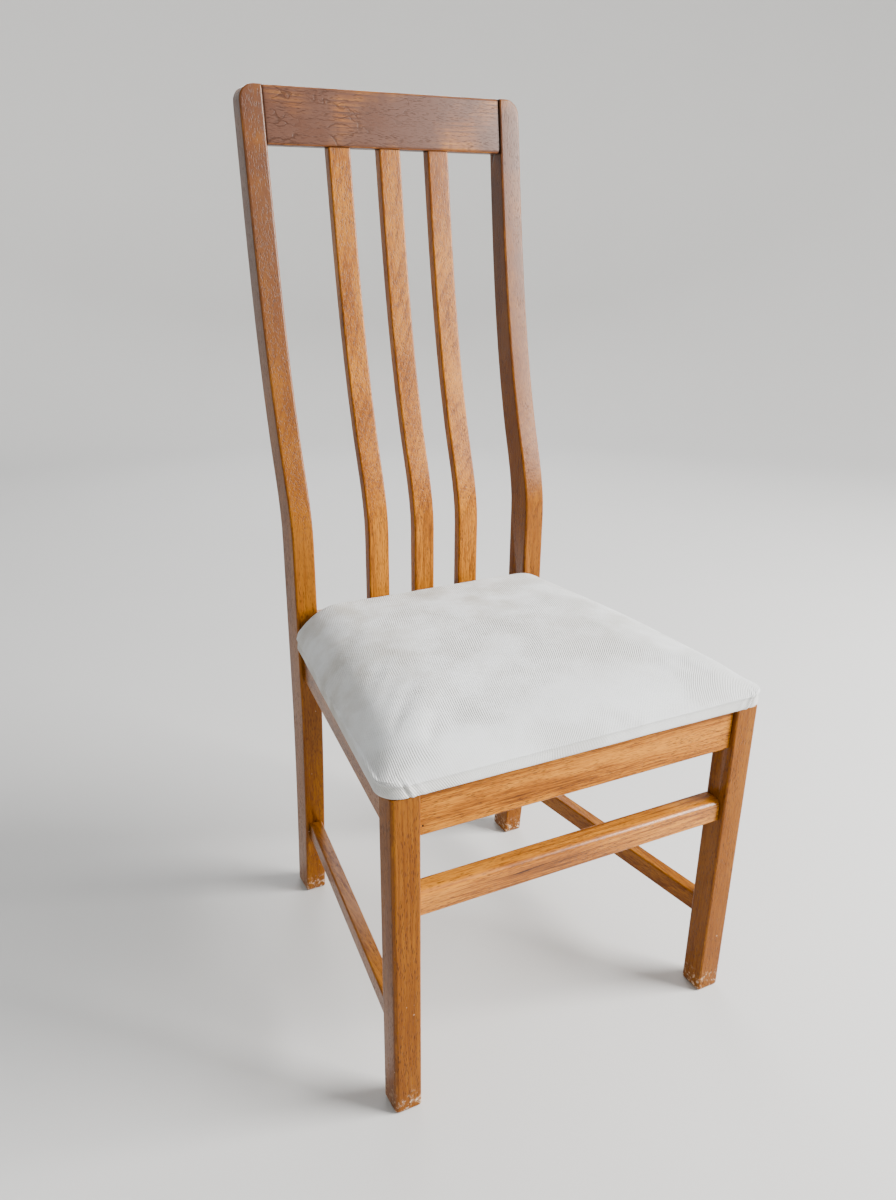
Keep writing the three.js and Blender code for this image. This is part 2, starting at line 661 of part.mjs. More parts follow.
// One corner under the seat: the block's outline and the three screws that pass through it.
function cornerAt(side, end) {
  const front = end === 'front';
  const toward = front ? 1 : -1;
  const railFace = front
    ? FRONT_RAIL_SETBACK + FRONT_RAIL_THICKNESS + JOINT_GAP
    : rearRailFront - JOINT_GAP;
  const notchX = (front ? legInner : postInner) - BLOCK_NOTCH_CLEARANCE;
  const notchY = front ? LEG_SIZE + BLOCK_NOTCH_CLEARANCE : SEAT_DEPTH - BLOCK_NOTCH_CLEARANCE;
  const farY = notchY + toward * BLOCK_REACH;
  const nearRail = notchX - BLOCK_REACH;
  const farX = sideRailInner(farY) - JOINT_GAP;
  const outline = [
    [notchX, railFace],
    [nearRail, railFace],
    [farX, farY],
    [sideRailInner(notchY) - JOINT_GAP, notchY],
    [notchX, notchY],
  ].map(([x, y]) => new THREE.Vector2(side * x, y));

  const top = SEAT_FRAME_HEIGHT - BLOCK_DROP;
  const bottom = top - BLOCK_HEIGHT;
  const diagonalY = (x) => railFace + ((x - nearRail) / (farX - nearRail)) * (farY - railFace);
  const diagonalX = (y) => nearRail + ((y - railFace) / (farY - railFace)) * (farX - nearRail);

  const railX = notchX - BLOCK_SCREW_OFFSET;
  const headY = diagonalY(railX - SCREW_HEAD_RADIUS);
  const railStart = new THREE.Vector3(side * railX, headY, bottom + BLOCK_SCREW_STAGGER);
  const railWay = new THREE.Vector3(0, -toward, 0);
  const railLength = Math.abs(headY - railFace) + BLOCK_SCREW_BITE;

  const sideY = notchY + toward * BLOCK_SCREW_SIDE_OFFSET;
  const headX = diagonalX(sideY + toward * SCREW_HEAD_RADIUS);
  const sideStart = new THREE.Vector3(side * headX, sideY, top - BLOCK_SCREW_STAGGER);
  const sideWay = new THREE.Vector3(side, 0, 0);
  const sideLength = sideRailInner(sideY) - headX + BLOCK_SCREW_BITE;

  const seatStart = new THREE.Vector3(
    side * (notchX - SEAT_SCREW_OFFSET_X),
    notchY + toward * SEAT_SCREW_OFFSET_Y,
    bottom,
  );
  const up = new THREE.Vector3(0, 0, 1);
  const seatLength = boardBottom - bottom + SEAT_SCREW_BITE;

  let block = planSolid(outline, bottom, top);
  block = block.subtract(screwHole(railStart, railWay, railLength)).subtract(headRoom(railStart, railWay));
  block = block.subtract(screwHole(sideStart, sideWay, sideLength)).subtract(headRoom(sideStart, sideWay));
  block = block.subtract(screwHole(seatStart, up, seatLength));
  return {
    block,
    railScrew: screwSolid(railStart, railWay, railLength),
    railScrewHole: screwHole(railStart, railWay, railLength),
    sideScrew: screwSolid(sideStart, sideWay, sideLength),
    sideScrewHole: screwHole(sideStart, sideWay, sideLength),
    seatScrew: screwSolid(seatStart, up, seatLength),
    seatScrewHole: screwHole(seatStart, up, seatLength),
  };
}

// ---- Seat pad -----------------------------------------------------------------------

const boardBottom = SEAT_FRAME_HEIGHT + COVER_THICKNESS + JOINT_GAP;
const boardTop = boardBottom + BOARD_THICKNESS;
const padFront = -PAD_OVERHANG_FRONT;
const padRear = SEAT_DEPTH - PAD_REAR_CLEARANCE;
const CORNER_STEPS = 5;
const EDGE_STEPS = 7;

// The pad's plan outline, drawn in all round, always with the same number of points.
function padOutline(inset) {
  const y0 = padFront + inset;
  const y1 = padRear - inset;
  const wide = FRONT_WIDTH / 2 + PAD_OVERHANG_SIDE - inset;
  const narrow = REAR_WIDTH / 2 + PAD_OVERHANG_REAR - inset;
  const rf = Math.max(PAD_FRONT_RADIUS - inset, 2);
  const rr = Math.max(PAD_REAR_RADIUS - inset, 2);
  const corners = [
    [wide - rf, y0 + rf, rf, -Math.PI / 2],
    [narrow - rr, y1 - rr, rr, 0],
    [-narrow + rr, y1 - rr, rr, Math.PI / 2],
    [-wide + rf, y0 + rf, rf, Math.PI],
  ];
  const arcs = corners.map(([cx, cy, r, from]) => {
    return Array.from({ length: CORNER_STEPS + 1 }, (_, k) => {
      const angle = from + (k / CORNER_STEPS) * (Math.PI / 2);
      return new THREE.Vector2(cx + r * Math.cos(angle), cy + r * Math.sin(angle));
    });
  });
  return arcs.flatMap((arc, i) => {
    const end = arc[arc.length - 1];
    const next = arcs[(i + 1) % arcs.length][0];
    const between = Array.from({ length: EDGE_STEPS - 1 }, (_, k) => (
      end.clone().lerp(next, (k + 1) / EDGE_STEPS)
    ));
    return [...arc, ...between];
  });
}

// Height of the foam's crown, low at the front edge and full over the rear two thirds.
function crownAt(y) {
  const t = THREE.MathUtils.clamp(y / PAD_CROWN_DEPTH, 0, 1);
  return PAD_FRONT_RISE + (PAD_CROWN_RISE - PAD_FRONT_RISE) * Math.sin((t * Math.PI) / 2);
}

function padTopAt(y, inset, skin) {
  const front = 1 - THREE.MathUtils.clamp(y / (2 * PAD_FRONT_ROLL), 0, 1);
  const roll = THREE.MathUtils.lerp(PAD_EDGE_ROLL, PAD_FRONT_ROLL, front);
  const t = 1 - THREE.MathUtils.clamp(inset / roll, 0, 1);
  const rise = (1 - t ** 2.6) ** (1 / 2.2);
  return SEAT_FRAME_HEIGHT + PAD_BORDER + (crownAt(y) - PAD_BORDER) * rise - skin;
}

// A domed solid over the pad's outline: rings of points up the side and over the crown.
function padSolid(skin, bottom, bottomInset) {
  const rings = [];
  const border = SEAT_FRAME_HEIGHT + PAD_BORDER - skin;
  rings.push(padOutline(bottomInset).map((p) => new THREE.Vector3(p.x, p.y, bottom)));
  rings.push(padOutline(skin).map((p) => new THREE.Vector3(p.x, p.y, border)));
  for (const inset of [1.2, 3.5, 8, 15, 26, 44, 75, 120, 165]) {
    const ring = padOutline(skin + inset);
    rings.push(ring.map((p) => new THREE.Vector3(p.x, p.y, padTopAt(p.y, inset, skin))));
  }
  return ringSolid(rings);
}

// Stretched cover: over the foam, down the border and turned under the board's edge.
function seatCover() {
  const outer = padSolid(0, SEAT_FRAME_HEIGHT, COVER_TUCK);
  const inner = padSolid(COVER_THICKNESS, SEAT_FRAME_HEIGHT + COVER_THICKNESS, COVER_TUCK + COVER_THICKNESS);
  const opening = planSolid(
    padOutline(COVER_TUCK + COVER_TURN_UNDER),
    SEAT_FRAME_HEIGHT - 1,
    SEAT_FRAME_HEIGHT + COVER_THICKNESS + 1,
  );
  return outer.subtract(inner).subtract(opening);
}

function seatFoam() {
  return padSolid(COVER_THICKNESS + JOINT_GAP, boardTop + JOINT_GAP, BOARD_INSET);
}

function seatBoard() {
  let board = planSolid(padOutline(BOARD_INSET), boardBottom, boardTop);
  for (const side of [-1, 1]) {
    for (const end of ['front', 'rear']) board = board.subtract(cornerAt(side, end).seatScrewHole);
  }
  return board;
}

// ---- Assembly -----------------------------------------------------------------------

const FINISHES = {
  oak: { color: 0xb5702f, roughness: 0.42, metalness: 0 },
  beech: { color: 0xcaa777, roughness: 0.7, metalness: 0 },
  plywood: { color: 0xc9ab7c, roughness: 0.8, metalness: 0 },
  foam: { color: 0xe6dcb4, roughness: 0.95, metalness: 0 },
  cloth: { color: 0xcfcdc6, roughness: 0.9, metalness: 0 },
  zinc: { color: 0xb8b6ae, roughness: 0.35, metalness: 0.9 },
};

const chair = new THREE.Group();

function place(name, solid, finish) {
  const mesh = new THREE.Mesh(toGeometry(solid), new THREE.MeshStandardMaterial(FINISHES[finish]));
  mesh.name = name;
  chair.add(mesh);
}

const SIDES = [['left', -1], ['right', 1]];

for (const [word, side] of SIDES) {
  place(`front_leg_${word}`, frontLeg(side), 'oak');
  place(`rear_post_${word}`, rearPost(side), 'oak');
  place(`side_rail_${word}`, sideRail(side), 'oak');
  place(`side_stretcher_${word}`, sideStretcher(side), 'oak');
  place(`crest_dowel_lower_${word}`, dowelSolid(side, dowelHeights[0], 0), 'beech');
  place(`crest_dowel_upper_${word}`, dowelSolid(side, dowelHeights[1], 0), 'beech');
  for (const end of ['front', 'rear']) {
    const corner = cornerAt(side, end);
    place(`corner_block_${end}_${word}`, corner.block, 'beech');
    place(`block_screw_rail_${end}_${word}`, corner.railScrew, 'zinc');
    place(`block_screw_side_${end}_${word}`, corner.sideScrew, 'zinc');
    place(`seat_screw_${end}_${word}`, corner.seatScrew, 'zinc');
  }
}
place('front_rail', frontRail(), 'oak');
place('rear_rail', rearRail(), 'oak');
place('crest_rail', crestRail(), 'oak');
place('front_stretcher', frontStretcher(), 'oak');
slatPlaces().forEach((x, i) => place(SLAT_NAMES[i], slat(x), 'oak'));
place('seat_board', seatBoard(), 'plywood');
place('seat_foam', seatFoam(), 'foam');
place('seat_cover', seatCover(), 'cloth');

// Centre the chair front to back over the origin; it already stands on z = 0.
const bounds = new THREE.Box3().setFromObject(chair);
chair.position.y = -(bounds.min.y + bounds.max.y) / 2;

const model = new THREE.Group();
model.add(chair);

export default model;
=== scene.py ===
"""Dining chair: stained and varnished frame, upholstered seat pad and a plain studio round it."""

import math

import bpy
from mathutils import Matrix, Vector, noise


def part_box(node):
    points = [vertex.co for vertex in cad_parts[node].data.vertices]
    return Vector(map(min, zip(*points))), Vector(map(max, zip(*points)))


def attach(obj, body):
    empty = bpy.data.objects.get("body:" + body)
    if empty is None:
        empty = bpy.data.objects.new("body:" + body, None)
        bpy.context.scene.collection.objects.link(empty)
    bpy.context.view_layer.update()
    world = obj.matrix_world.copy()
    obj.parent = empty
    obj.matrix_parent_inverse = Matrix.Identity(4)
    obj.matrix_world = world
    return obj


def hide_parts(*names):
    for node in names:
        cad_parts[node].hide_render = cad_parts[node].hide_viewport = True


bl_info = {
    "name": "Dining chair",
    "version": (1, 0, 0),
    "blender": (4, 5, 0),
    "location": "View3D > Sidebar > Chair",
    "description": "Finishes a slat-backed dining chair and makes its seat pad",
    "category": "Object",
}

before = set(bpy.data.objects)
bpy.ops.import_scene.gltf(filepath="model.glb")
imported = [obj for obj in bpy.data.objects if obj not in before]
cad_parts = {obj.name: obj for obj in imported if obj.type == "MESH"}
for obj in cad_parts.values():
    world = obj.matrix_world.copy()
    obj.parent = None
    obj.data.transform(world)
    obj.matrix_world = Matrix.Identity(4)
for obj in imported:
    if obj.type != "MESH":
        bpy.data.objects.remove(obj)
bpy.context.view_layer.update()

MM = 0.001
SIDES = ("left", "right")
ENDS = ("front", "rear")

COVER_LOW, COVER_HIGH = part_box("seat_cover")
BOARD_LOW, BOARD_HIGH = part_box("seat_board")
POST_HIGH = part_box("rear_post_left")[1]
CREST_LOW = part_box("crest_rail")[0]
RAIL_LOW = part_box("front_rail")[0]
FRONT_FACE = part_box("front_leg_left")[0].y
SEAT_FRAME_TOP = COVER_LOW.z


# ---- Settings ---------------------------------------------------------------------------


class WoodSettings(bpy.types.PropertyGroup):
    """Colours and figure of the show wood"""

    pale: bpy.props.FloatVectorProperty(
        name="Pale wood",
        description="Colour between the growth rings",
        subtype="COLOR",
        default=(0.47, 0.176, 0.012),
        min=0,
        max=1,
    )
    warm: bpy.props.FloatVectorProperty(
        name="Warm wood",
        description="Main colour of the stain",
        subtype="COLOR",
        default=(0.245, 0.072, 0.0035),
        min=0,
        max=1,
    )
    dark: bpy.props.FloatVectorProperty(
        name="Dark wood",
        description="Colour of the late growth and the pores",
        subtype="COLOR",
        default=(0.030, 0.0085, 0.0015),
        min=0,
        max=1,
    )
    sheen_tint: bpy.props.FloatVectorProperty(
        name="Painted sheen colour",
        description="Greyer brown painted onto the top of the back as a painted sheen of reflected light",
        subtype="COLOR",
        default=(0.076, 0.031, 0.018),
        min=0,
        max=1,
    )
    ring_spacing: bpy.props.FloatProperty(
        name="Ring spacing",
        description="Distance between growth rings",
        unit="LENGTH",
        default=5.5 * MM,
        min=1 * MM,
    )
    pore_length: bpy.props.FloatProperty(
        name="Pore length",
        description="Length of the dark pores along the grain",
        unit="LENGTH",
        default=13 * MM,
        min=1 * MM,
    )
    pore_width: bpy.props.FloatProperty(
        name="Pore width",
        description="Spacing of the pores across the grain",
        unit="LENGTH",
        default=2.1 * MM,
        min=0.1 * MM,
    )


class PadSettings(bpy.types.PropertyGroup):
    """Shape and cloth of the seat pad"""

    crown: bpy.props.FloatProperty(
        name="Crown height",
        description="Height of the pad's middle and rear above the seat frame, before it swells",
        unit="LENGTH",
        default=COVER_HIGH.z - COVER_LOW.z,
    )
    front_drop: bpy.props.FloatProperty(
        name="Front drop",
        description="How much lower the crown is at the front edge",
        unit="LENGTH",
        default=20 * MM,
    )
    crown_depth: bpy.props.FloatProperty(
        name="Crown depth",
        description="Distance behind the front edge over which the crown rises",
        unit="LENGTH",
        default=260 * MM,
    )
    border: bpy.props.FloatProperty(
        name="Border height",
        description="Height of the upright band round the pad",
        unit="LENGTH",
        default=18 * MM,
    )
    side_roll: bpy.props.FloatProperty(
        name="Side roll",
        description="Width over which the top rolls down to the sides",
        unit="LENGTH",
        default=60 * MM,
    )
    rear_roll: bpy.props.FloatProperty(
        name="Rear roll",
        description="Width over which the top rolls down to the rear",
        unit="LENGTH",
        default=20 * MM,
    )
    front_roll: bpy.props.FloatProperty(
        name="Front roll",
        description="Width over which the top rolls down to the front",
        unit="LENGTH",
        default=64 * MM,
    )
    thickness: bpy.props.FloatProperty(
        name="Cloth thickness",
        description="Thickness of the cover",
        unit="LENGTH",
        default=1.1 * MM,
    )
    pressure: bpy.props.FloatProperty(
        name="Stuffing pressure",
        description="Pressure of the foam against the cover in the cloth simulation",
        default=4.0,
    )
    reach: bpy.props.FloatProperty(
        name="Most swelling",
        description="The furthest that the simulation may move the cloth",
        unit="LENGTH",
        default=4 * MM,
    )
    colour: bpy.props.FloatVectorProperty(
        name="Cloth",
        description="Colour of the clean cloth",
        subtype="COLOR",
        default=(0.70, 0.722, 0.73),
        min=0,
        max=1,
    )
    soil_and_rib_shade: bpy.props.FloatVectorProperty(
        name="Soiled and shaded cloth",
        description="Colour of the worn and stained patches, and of the painted shade between the ribs",
        subtype="COLOR",
        default=(0.44, 0.42, 0.375),
        min=0,
        max=1,
    )
    rib: bpy.props.FloatProperty(
        name="Rib pitch",
        description="Distance between the diagonal ribs of the cloth",
        unit="LENGTH",
        default=2.7 * MM,
    )


class StageSettings(bpy.types.PropertyGroup):
    """Floor, light and viewpoint"""

    floor_radius: bpy.props.FloatProperty(
        name="Floor radius",
        description="Radius of the flat floor before it sweeps up into the wall",
        unit="LENGTH",
        default=3.4,
    )
    floor_colour: bpy.props.FloatVectorProperty(
        name="Floor",
        description="Colour of the floor and wall",
        subtype="COLOR",
        default=(0.58, 0.58, 0.575),
        min=0,
        max=1,
    )
    window_power: bpy.props.FloatProperty(
        name="Window light",
        description="Power of the large light in front and to the right",
        unit="POWER",
        default=560,
    )
    overhead_power: bpy.props.FloatProperty(
        name="Overhead light",
        description="Power of the light above",
        unit="POWER",
        default=34,
    )
    sky: bpy.props.FloatProperty(
        name="Room light",
        description="Strength of the even light from all round",
        default=0.11,
    )
    focal_length: bpy.props.FloatProperty(
        name="Focal length",
        description="Focal length in millimetres on a sensor 36 mm long",
        default=28.4,
    )


SETTINGS = {
    "chair_wood": WoodSettings,
    "chair_pad": PadSettings,
    "chair_stage": StageSettings,
}


# ---- Node trees ----------------------------------------------------------------------------


class Graph:
    """Adds nodes to one shader tree and joins them."""

    COLUMNS = 9

    def __init__(self, tree):
        self.tree = tree

    def add(self, kind, links=None, **settings):
        node = self.tree.nodes.new(kind)
        count = len(self.tree.nodes)
        node.location = (220 * (count % self.COLUMNS), -260 * (count // self.COLUMNS))
        for name, value in settings.items():
            setattr(node, name, value)
        for name, value in (links or {}).items():
            self.feed(node.inputs[name], value)
        return node

    def feed(self, socket, value):
        if isinstance(value, bpy.types.NodeSocket):
            self.tree.links.new(value, socket)
        else:
            socket.default_value = value

    def math(self, operation, *values, clamp=False):
        node = self.add("ShaderNodeMath", operation=operation, use_clamp=clamp)
        for socket, value in zip(node.inputs, values):
            self.feed(socket, value)
        return node.outputs[0]

    def vector(self, operation, *values):
        node = self.add("ShaderNodeVectorMath", operation=operation)
        for socket, value in zip(node.inputs, values):
            self.feed(socket, value)
        return node.outputs["Value" if operation in {"LENGTH", "DISTANCE", "DOT_PRODUCT"} else "Vector"]

    def split(self, vector):
        return self.add("ShaderNodeSeparateXYZ", {"Vector": vector}).outputs

    def join(self, x, y, z):
        return self.add("ShaderNodeCombineXYZ", {"X": x, "Y": y, "Z": z}).outputs[0]

    def step(self, value, low, high):
        """0 below low, 1 above high, and smooth between them."""
        links = {"Value": value, "From Min": low, "From Max": high}
        return self.add("ShaderNodeMapRange", links, interpolation_type="SMOOTHSTEP").outputs[0]

    def mix(self, factor, first, second):
        node = self.add("ShaderNodeMix", data_type="RGBA")
        for index, value in ((0, factor), (6, first), (7, second)):
            self.feed(node.inputs[index], value)
        return node.outputs[2]

    def noise(self, vector, scale, detail=2.0, roughness=0.5):
        links = {"Vector": vector, "Scale": scale, "Detail": detail, "Roughness": roughness}
        return self.add("ShaderNodeTexNoise", links).outputs["Fac"]

    def cells(self, vector, scale, feature="F1"):
        links = {"Vector": vector, "Scale": scale}
        return self.add("ShaderNodeTexVoronoi", links, feature=feature).outputs["Distance"]

    def group(self, tree, **links):
        node = self.add("ShaderNodeGroup", node_tree=tree)
        for name, value in links.items():
            self.feed(node.inputs[name.replace("_", " ")], value)
        return node.outputs


def rgb(colour):
    return (colour[0], colour[1], colour[2], 1.0)


def new_group(name, inputs, outputs):
    """An empty shader group with its sockets, as (tree, graph, inputs, output node)."""
    tree = bpy.data.node_groups.new(name, "ShaderNodeTree")
    for label, default in inputs.items():
        kind = "NodeSocketVector" if isinstance(default, tuple) else "NodeSocketFloat"
        socket = tree.interface.new_socket(label, in_out="INPUT", socket_type=kind)
        socket.default_value = default
    for label in outputs:
        tree.interface.new_socket(label, in_out="OUTPUT", socket_type="NodeSocketFloat")
    graph = Graph(tree)
    return tree, graph, graph.add("NodeGroupInput").outputs, graph.add("NodeGroupOutput").inputs


def cached_group(name, build):
    return bpy.data.node_groups.get(name) or build(name)


def sawn_grain(name):
    """Growth rings, pores and fibres of a board whose grain runs along the vector's Z."""
    inputs = {
        "Vector": (0, 0, 0),
        "Ring Spacing": 5 * MM,
        "Pore Length": 9 * MM,
        "Pore Width": 1 * MM,
    }
    tree, graph, given, put = new_group(name, inputs, ["Rings", "Pores", "Fibres", "Tone"])
    place = given["Vector"]

    # The rings circle a pith that lies outside the board and wanders slowly along it.
    slow = graph.vector("MULTIPLY", place, (1.0, 1.0, 0.14))
    bend = graph.add("ShaderNodeTexNoise", {"Vector": slow, "Scale": 16.0, "Detail": 3.0})
    drift = graph.vector("SUBTRACT", bend.outputs["Color"], (0.5, 0.5, 0.5))
    moved = graph.vector("MULTIPLY_ADD", drift, (0.02, 0.02, 0.02), place)
    from_pith = graph.vector("SUBTRACT", moved, (0.31, -0.47, 0.0))
    flat = graph.vector("MULTIPLY", from_pith, (1.0, 1.0, 0.0))
    turns = graph.math("DIVIDE", graph.vector("LENGTH", flat), given["Ring Spacing"])
    late = graph.math("POWER", graph.math("FRACT", turns), 3.0)
    strength = graph.step(graph.noise(slow, 22.0, 2.0), 0.35, 0.7)
    rings = graph.math("MULTIPLY", late, graph.math("MULTIPLY_ADD", strength, 0.75, 0.25))

    # Pores are long thin cells, densest in the early growth.
    sides = graph.split(place)
    across_x = graph.math("DIVIDE", sides["X"], given["Pore Width"])
    across_y = graph.math("DIVIDE", sides["Y"], given["Pore Width"])
    along = graph.math("DIVIDE", sides["Z"], given["Pore Length"])
    stretched = graph.join(across_x, across_y, along)
    warped = graph.vector("ADD", stretched, graph.vector("MULTIPLY", drift, (4.0, 4.0, 0.0)))
    coarse = graph.math("SUBTRACT", 1.0, graph.step(graph.cells(warped, 1.0), 0.12, 0.30))
    fine = graph.math("SUBTRACT", 1.0, graph.step(graph.cells(warped, 1.5), 0.18, 0.42))
    slits = graph.math("MAXIMUM", coarse, graph.math("MULTIPLY", fine, 0.75))
    crowd = graph.step(graph.noise(graph.vector("MULTIPLY", place, (1.0, 1.0, 0.2)), 60.0, 2.0), 0.38, 0.62)
    early = graph.math("MULTIPLY_ADD", crowd, 0.5, 0.5)
    pores = graph.math("MULTIPLY", slits, early, clamp=True)

    fibre_place = graph.vector("MULTIPLY", stretched, (1.3, 1.3, 0.35))
    fibres = graph.noise(fibre_place, 1.0, 4.0, 0.6)
    tone_place = graph.vector("MULTIPLY", place, (1.0, 1.0, 0.09))
    tone = graph.noise(tone_place, 42.0, 3.0, 0.55)

    for label, value in (("Rings", rings), ("Pores", pores), ("Fibres", fibres), ("Tone", tone)):
        graph.feed(put[label], value)
    return tree


def edge_wear(name):
    """Marks the rounded edges, where the surface turns away from the frame's main directions."""
    tree, graph, given, put = new_group(name, {"Vector": (0, 0, 0), "Patchiness": 30.0}, ["Edge", "Wear"])
    facing = graph.split(graph.vector("ABSOLUTE", graph.add("ShaderNodeNewGeometry").outputs["Normal"]))
    most = graph.math("MAXIMUM", graph.math("MAXIMUM", facing["X"], facing["Y"]), facing["Z"])
    edge = graph.math("SUBTRACT", 1.0, graph.step(most, 0.76, 0.93))
    patches = graph.step(graph.noise(given["Vector"], given["Patchiness"], 3.0, 0.6), 0.52, 0.66)
    graph.feed(put["Edge"], edge)
    graph.feed(put["Wear"], graph.math("MULTIPLY", edge, patches))
    return tree


def knocks(name):
    """Small pale nicks and short scratches scattered over a surface."""
    inputs = {"Vector": (0, 0, 0), "Scale": 90.0, "Amount": 0.1}
    tree, graph, given, put = new_group(name, inputs, ["Nicks"])
    cells = graph.add(
        "ShaderNodeTexVoronoi", {"Vector": given["Vector"], "Scale": given["Scale"]}, feature="F1"
    )
    ragged = graph.noise(given["Vector"], 900.0, 2.0)
    size = graph.math("MULTIPLY_ADD", ragged, 0.16, cells.outputs["Distance"])
    spot = graph.math("SUBTRACT", 1.0, graph.step(size, 0.13, 0.22))
    chosen = graph.math("LESS_THAN", graph.split(cells.outputs["Color"])["X"], given["Amount"])
    graph.feed(put["Nicks"], graph.math("MULTIPLY", spot, chosen))
    return tree


def twill(name):
    """Diagonal ribs of a woven cloth that wraps down the pad's sides, and its fine threads."""
    inputs = {"Vector": (0, 0, 0), "Rib Pitch": 0.002, "Top": COVER_HIGH.z}
    tree, graph, given, put = new_group(name, inputs, ["Ribs", "Threads", "Clarity"])
    parts = graph.split(given["Vector"])
    fall = graph.math("SUBTRACT", given["Top"], parts["Z"])
    outward = graph.math("MULTIPLY", parts["X"], 7.0)
    outward = graph.math("MINIMUM", graph.math("MAXIMUM", outward, -1.0), 1.0)
    wrapped = graph.math("MULTIPLY_ADD", outward, fall, parts["X"])
    lengthwise = graph.math("SUBTRACT", parts["Y"], fall)
    wobble = graph.noise(given["Vector"], 24.0, 2.0)
    wander = graph.math("MULTIPLY", graph.math("SUBTRACT", wobble, 0.5), 0.0045)
    rib_way = graph.math("MULTIPLY_ADD", lengthwise, -0.30, graph.math("ADD", wrapped, wander))
    turns = graph.math("DIVIDE", rib_way, given["Rib Pitch"])
    wave = graph.math("SINE", graph.math("MULTIPLY", turns, 2 * math.pi))
    ribs = graph.math("MULTIPLY_ADD", wave, 0.5, 0.5)

    fine = graph.math("DIVIDE", 2 * math.pi * 2.6, given["Rib Pitch"])
    warp = graph.math("SINE", graph.math("MULTIPLY", wrapped, fine))
    weft = graph.math("SINE", graph.math("MULTIPLY", lengthwise, fine))
    threads = graph.math("MULTIPLY_ADD", graph.math("MULTIPLY", warp, weft), 0.5, 0.5)

    patches = graph.noise(given["Vector"], 11.0, 3.0, 0.6)
    graph.feed(put["Ribs"], ribs)
    graph.feed(put["Threads"], threads)
    graph.feed(put["Clarity"], graph.step(patches, 0.40, 0.62))
    return tree


def soiling(name):
    """A soft blotch round a centre, broken up by noise."""
    inputs = {"Vector": (0, 0, 0), "Centre": (0, 0, 0), "Radius": 0.08}
    tree, graph, given, put = new_group(name, inputs, ["Blotch"])
    away = graph.vector("DISTANCE", given["Vector"], given["Centre"])
    near = graph.math("SUBTRACT", 1.0, graph.math("DIVIDE", away, given["Radius"]), clamp=True)
    cloud = graph.noise(given["Vector"], 26.0, 4.0, 0.6)
    graph.feed(put["Blotch"], graph.math("MULTIPLY", near, graph.step(cloud, 0.33, 0.72)))
    return tree


# ---- Materials -------------------------------------------------------------------------------


def new_material(name):
    """A material with an empty Principled shader, as (material, graph, shader)."""
    material = bpy.data.materials.new(name)
    material.use_nodes = True
    shader = material.node_tree.nodes["Principled BSDF"]
    return material, Graph(material.node_tree), shader


def put_bump(graph, shader, height, distance, strength=1.0):
    links = {"Height": height, "Distance": distance, "Strength": strength}
    graph.feed(shader.inputs["Normal"], graph.add("ShaderNodeBump", links).outputs["Normal"])


GRAIN_ORDER = {"X": ("Y", "Z", "X"), "Y": ("Z", "X", "Y"), "Z": ("X", "Y", "Z")}


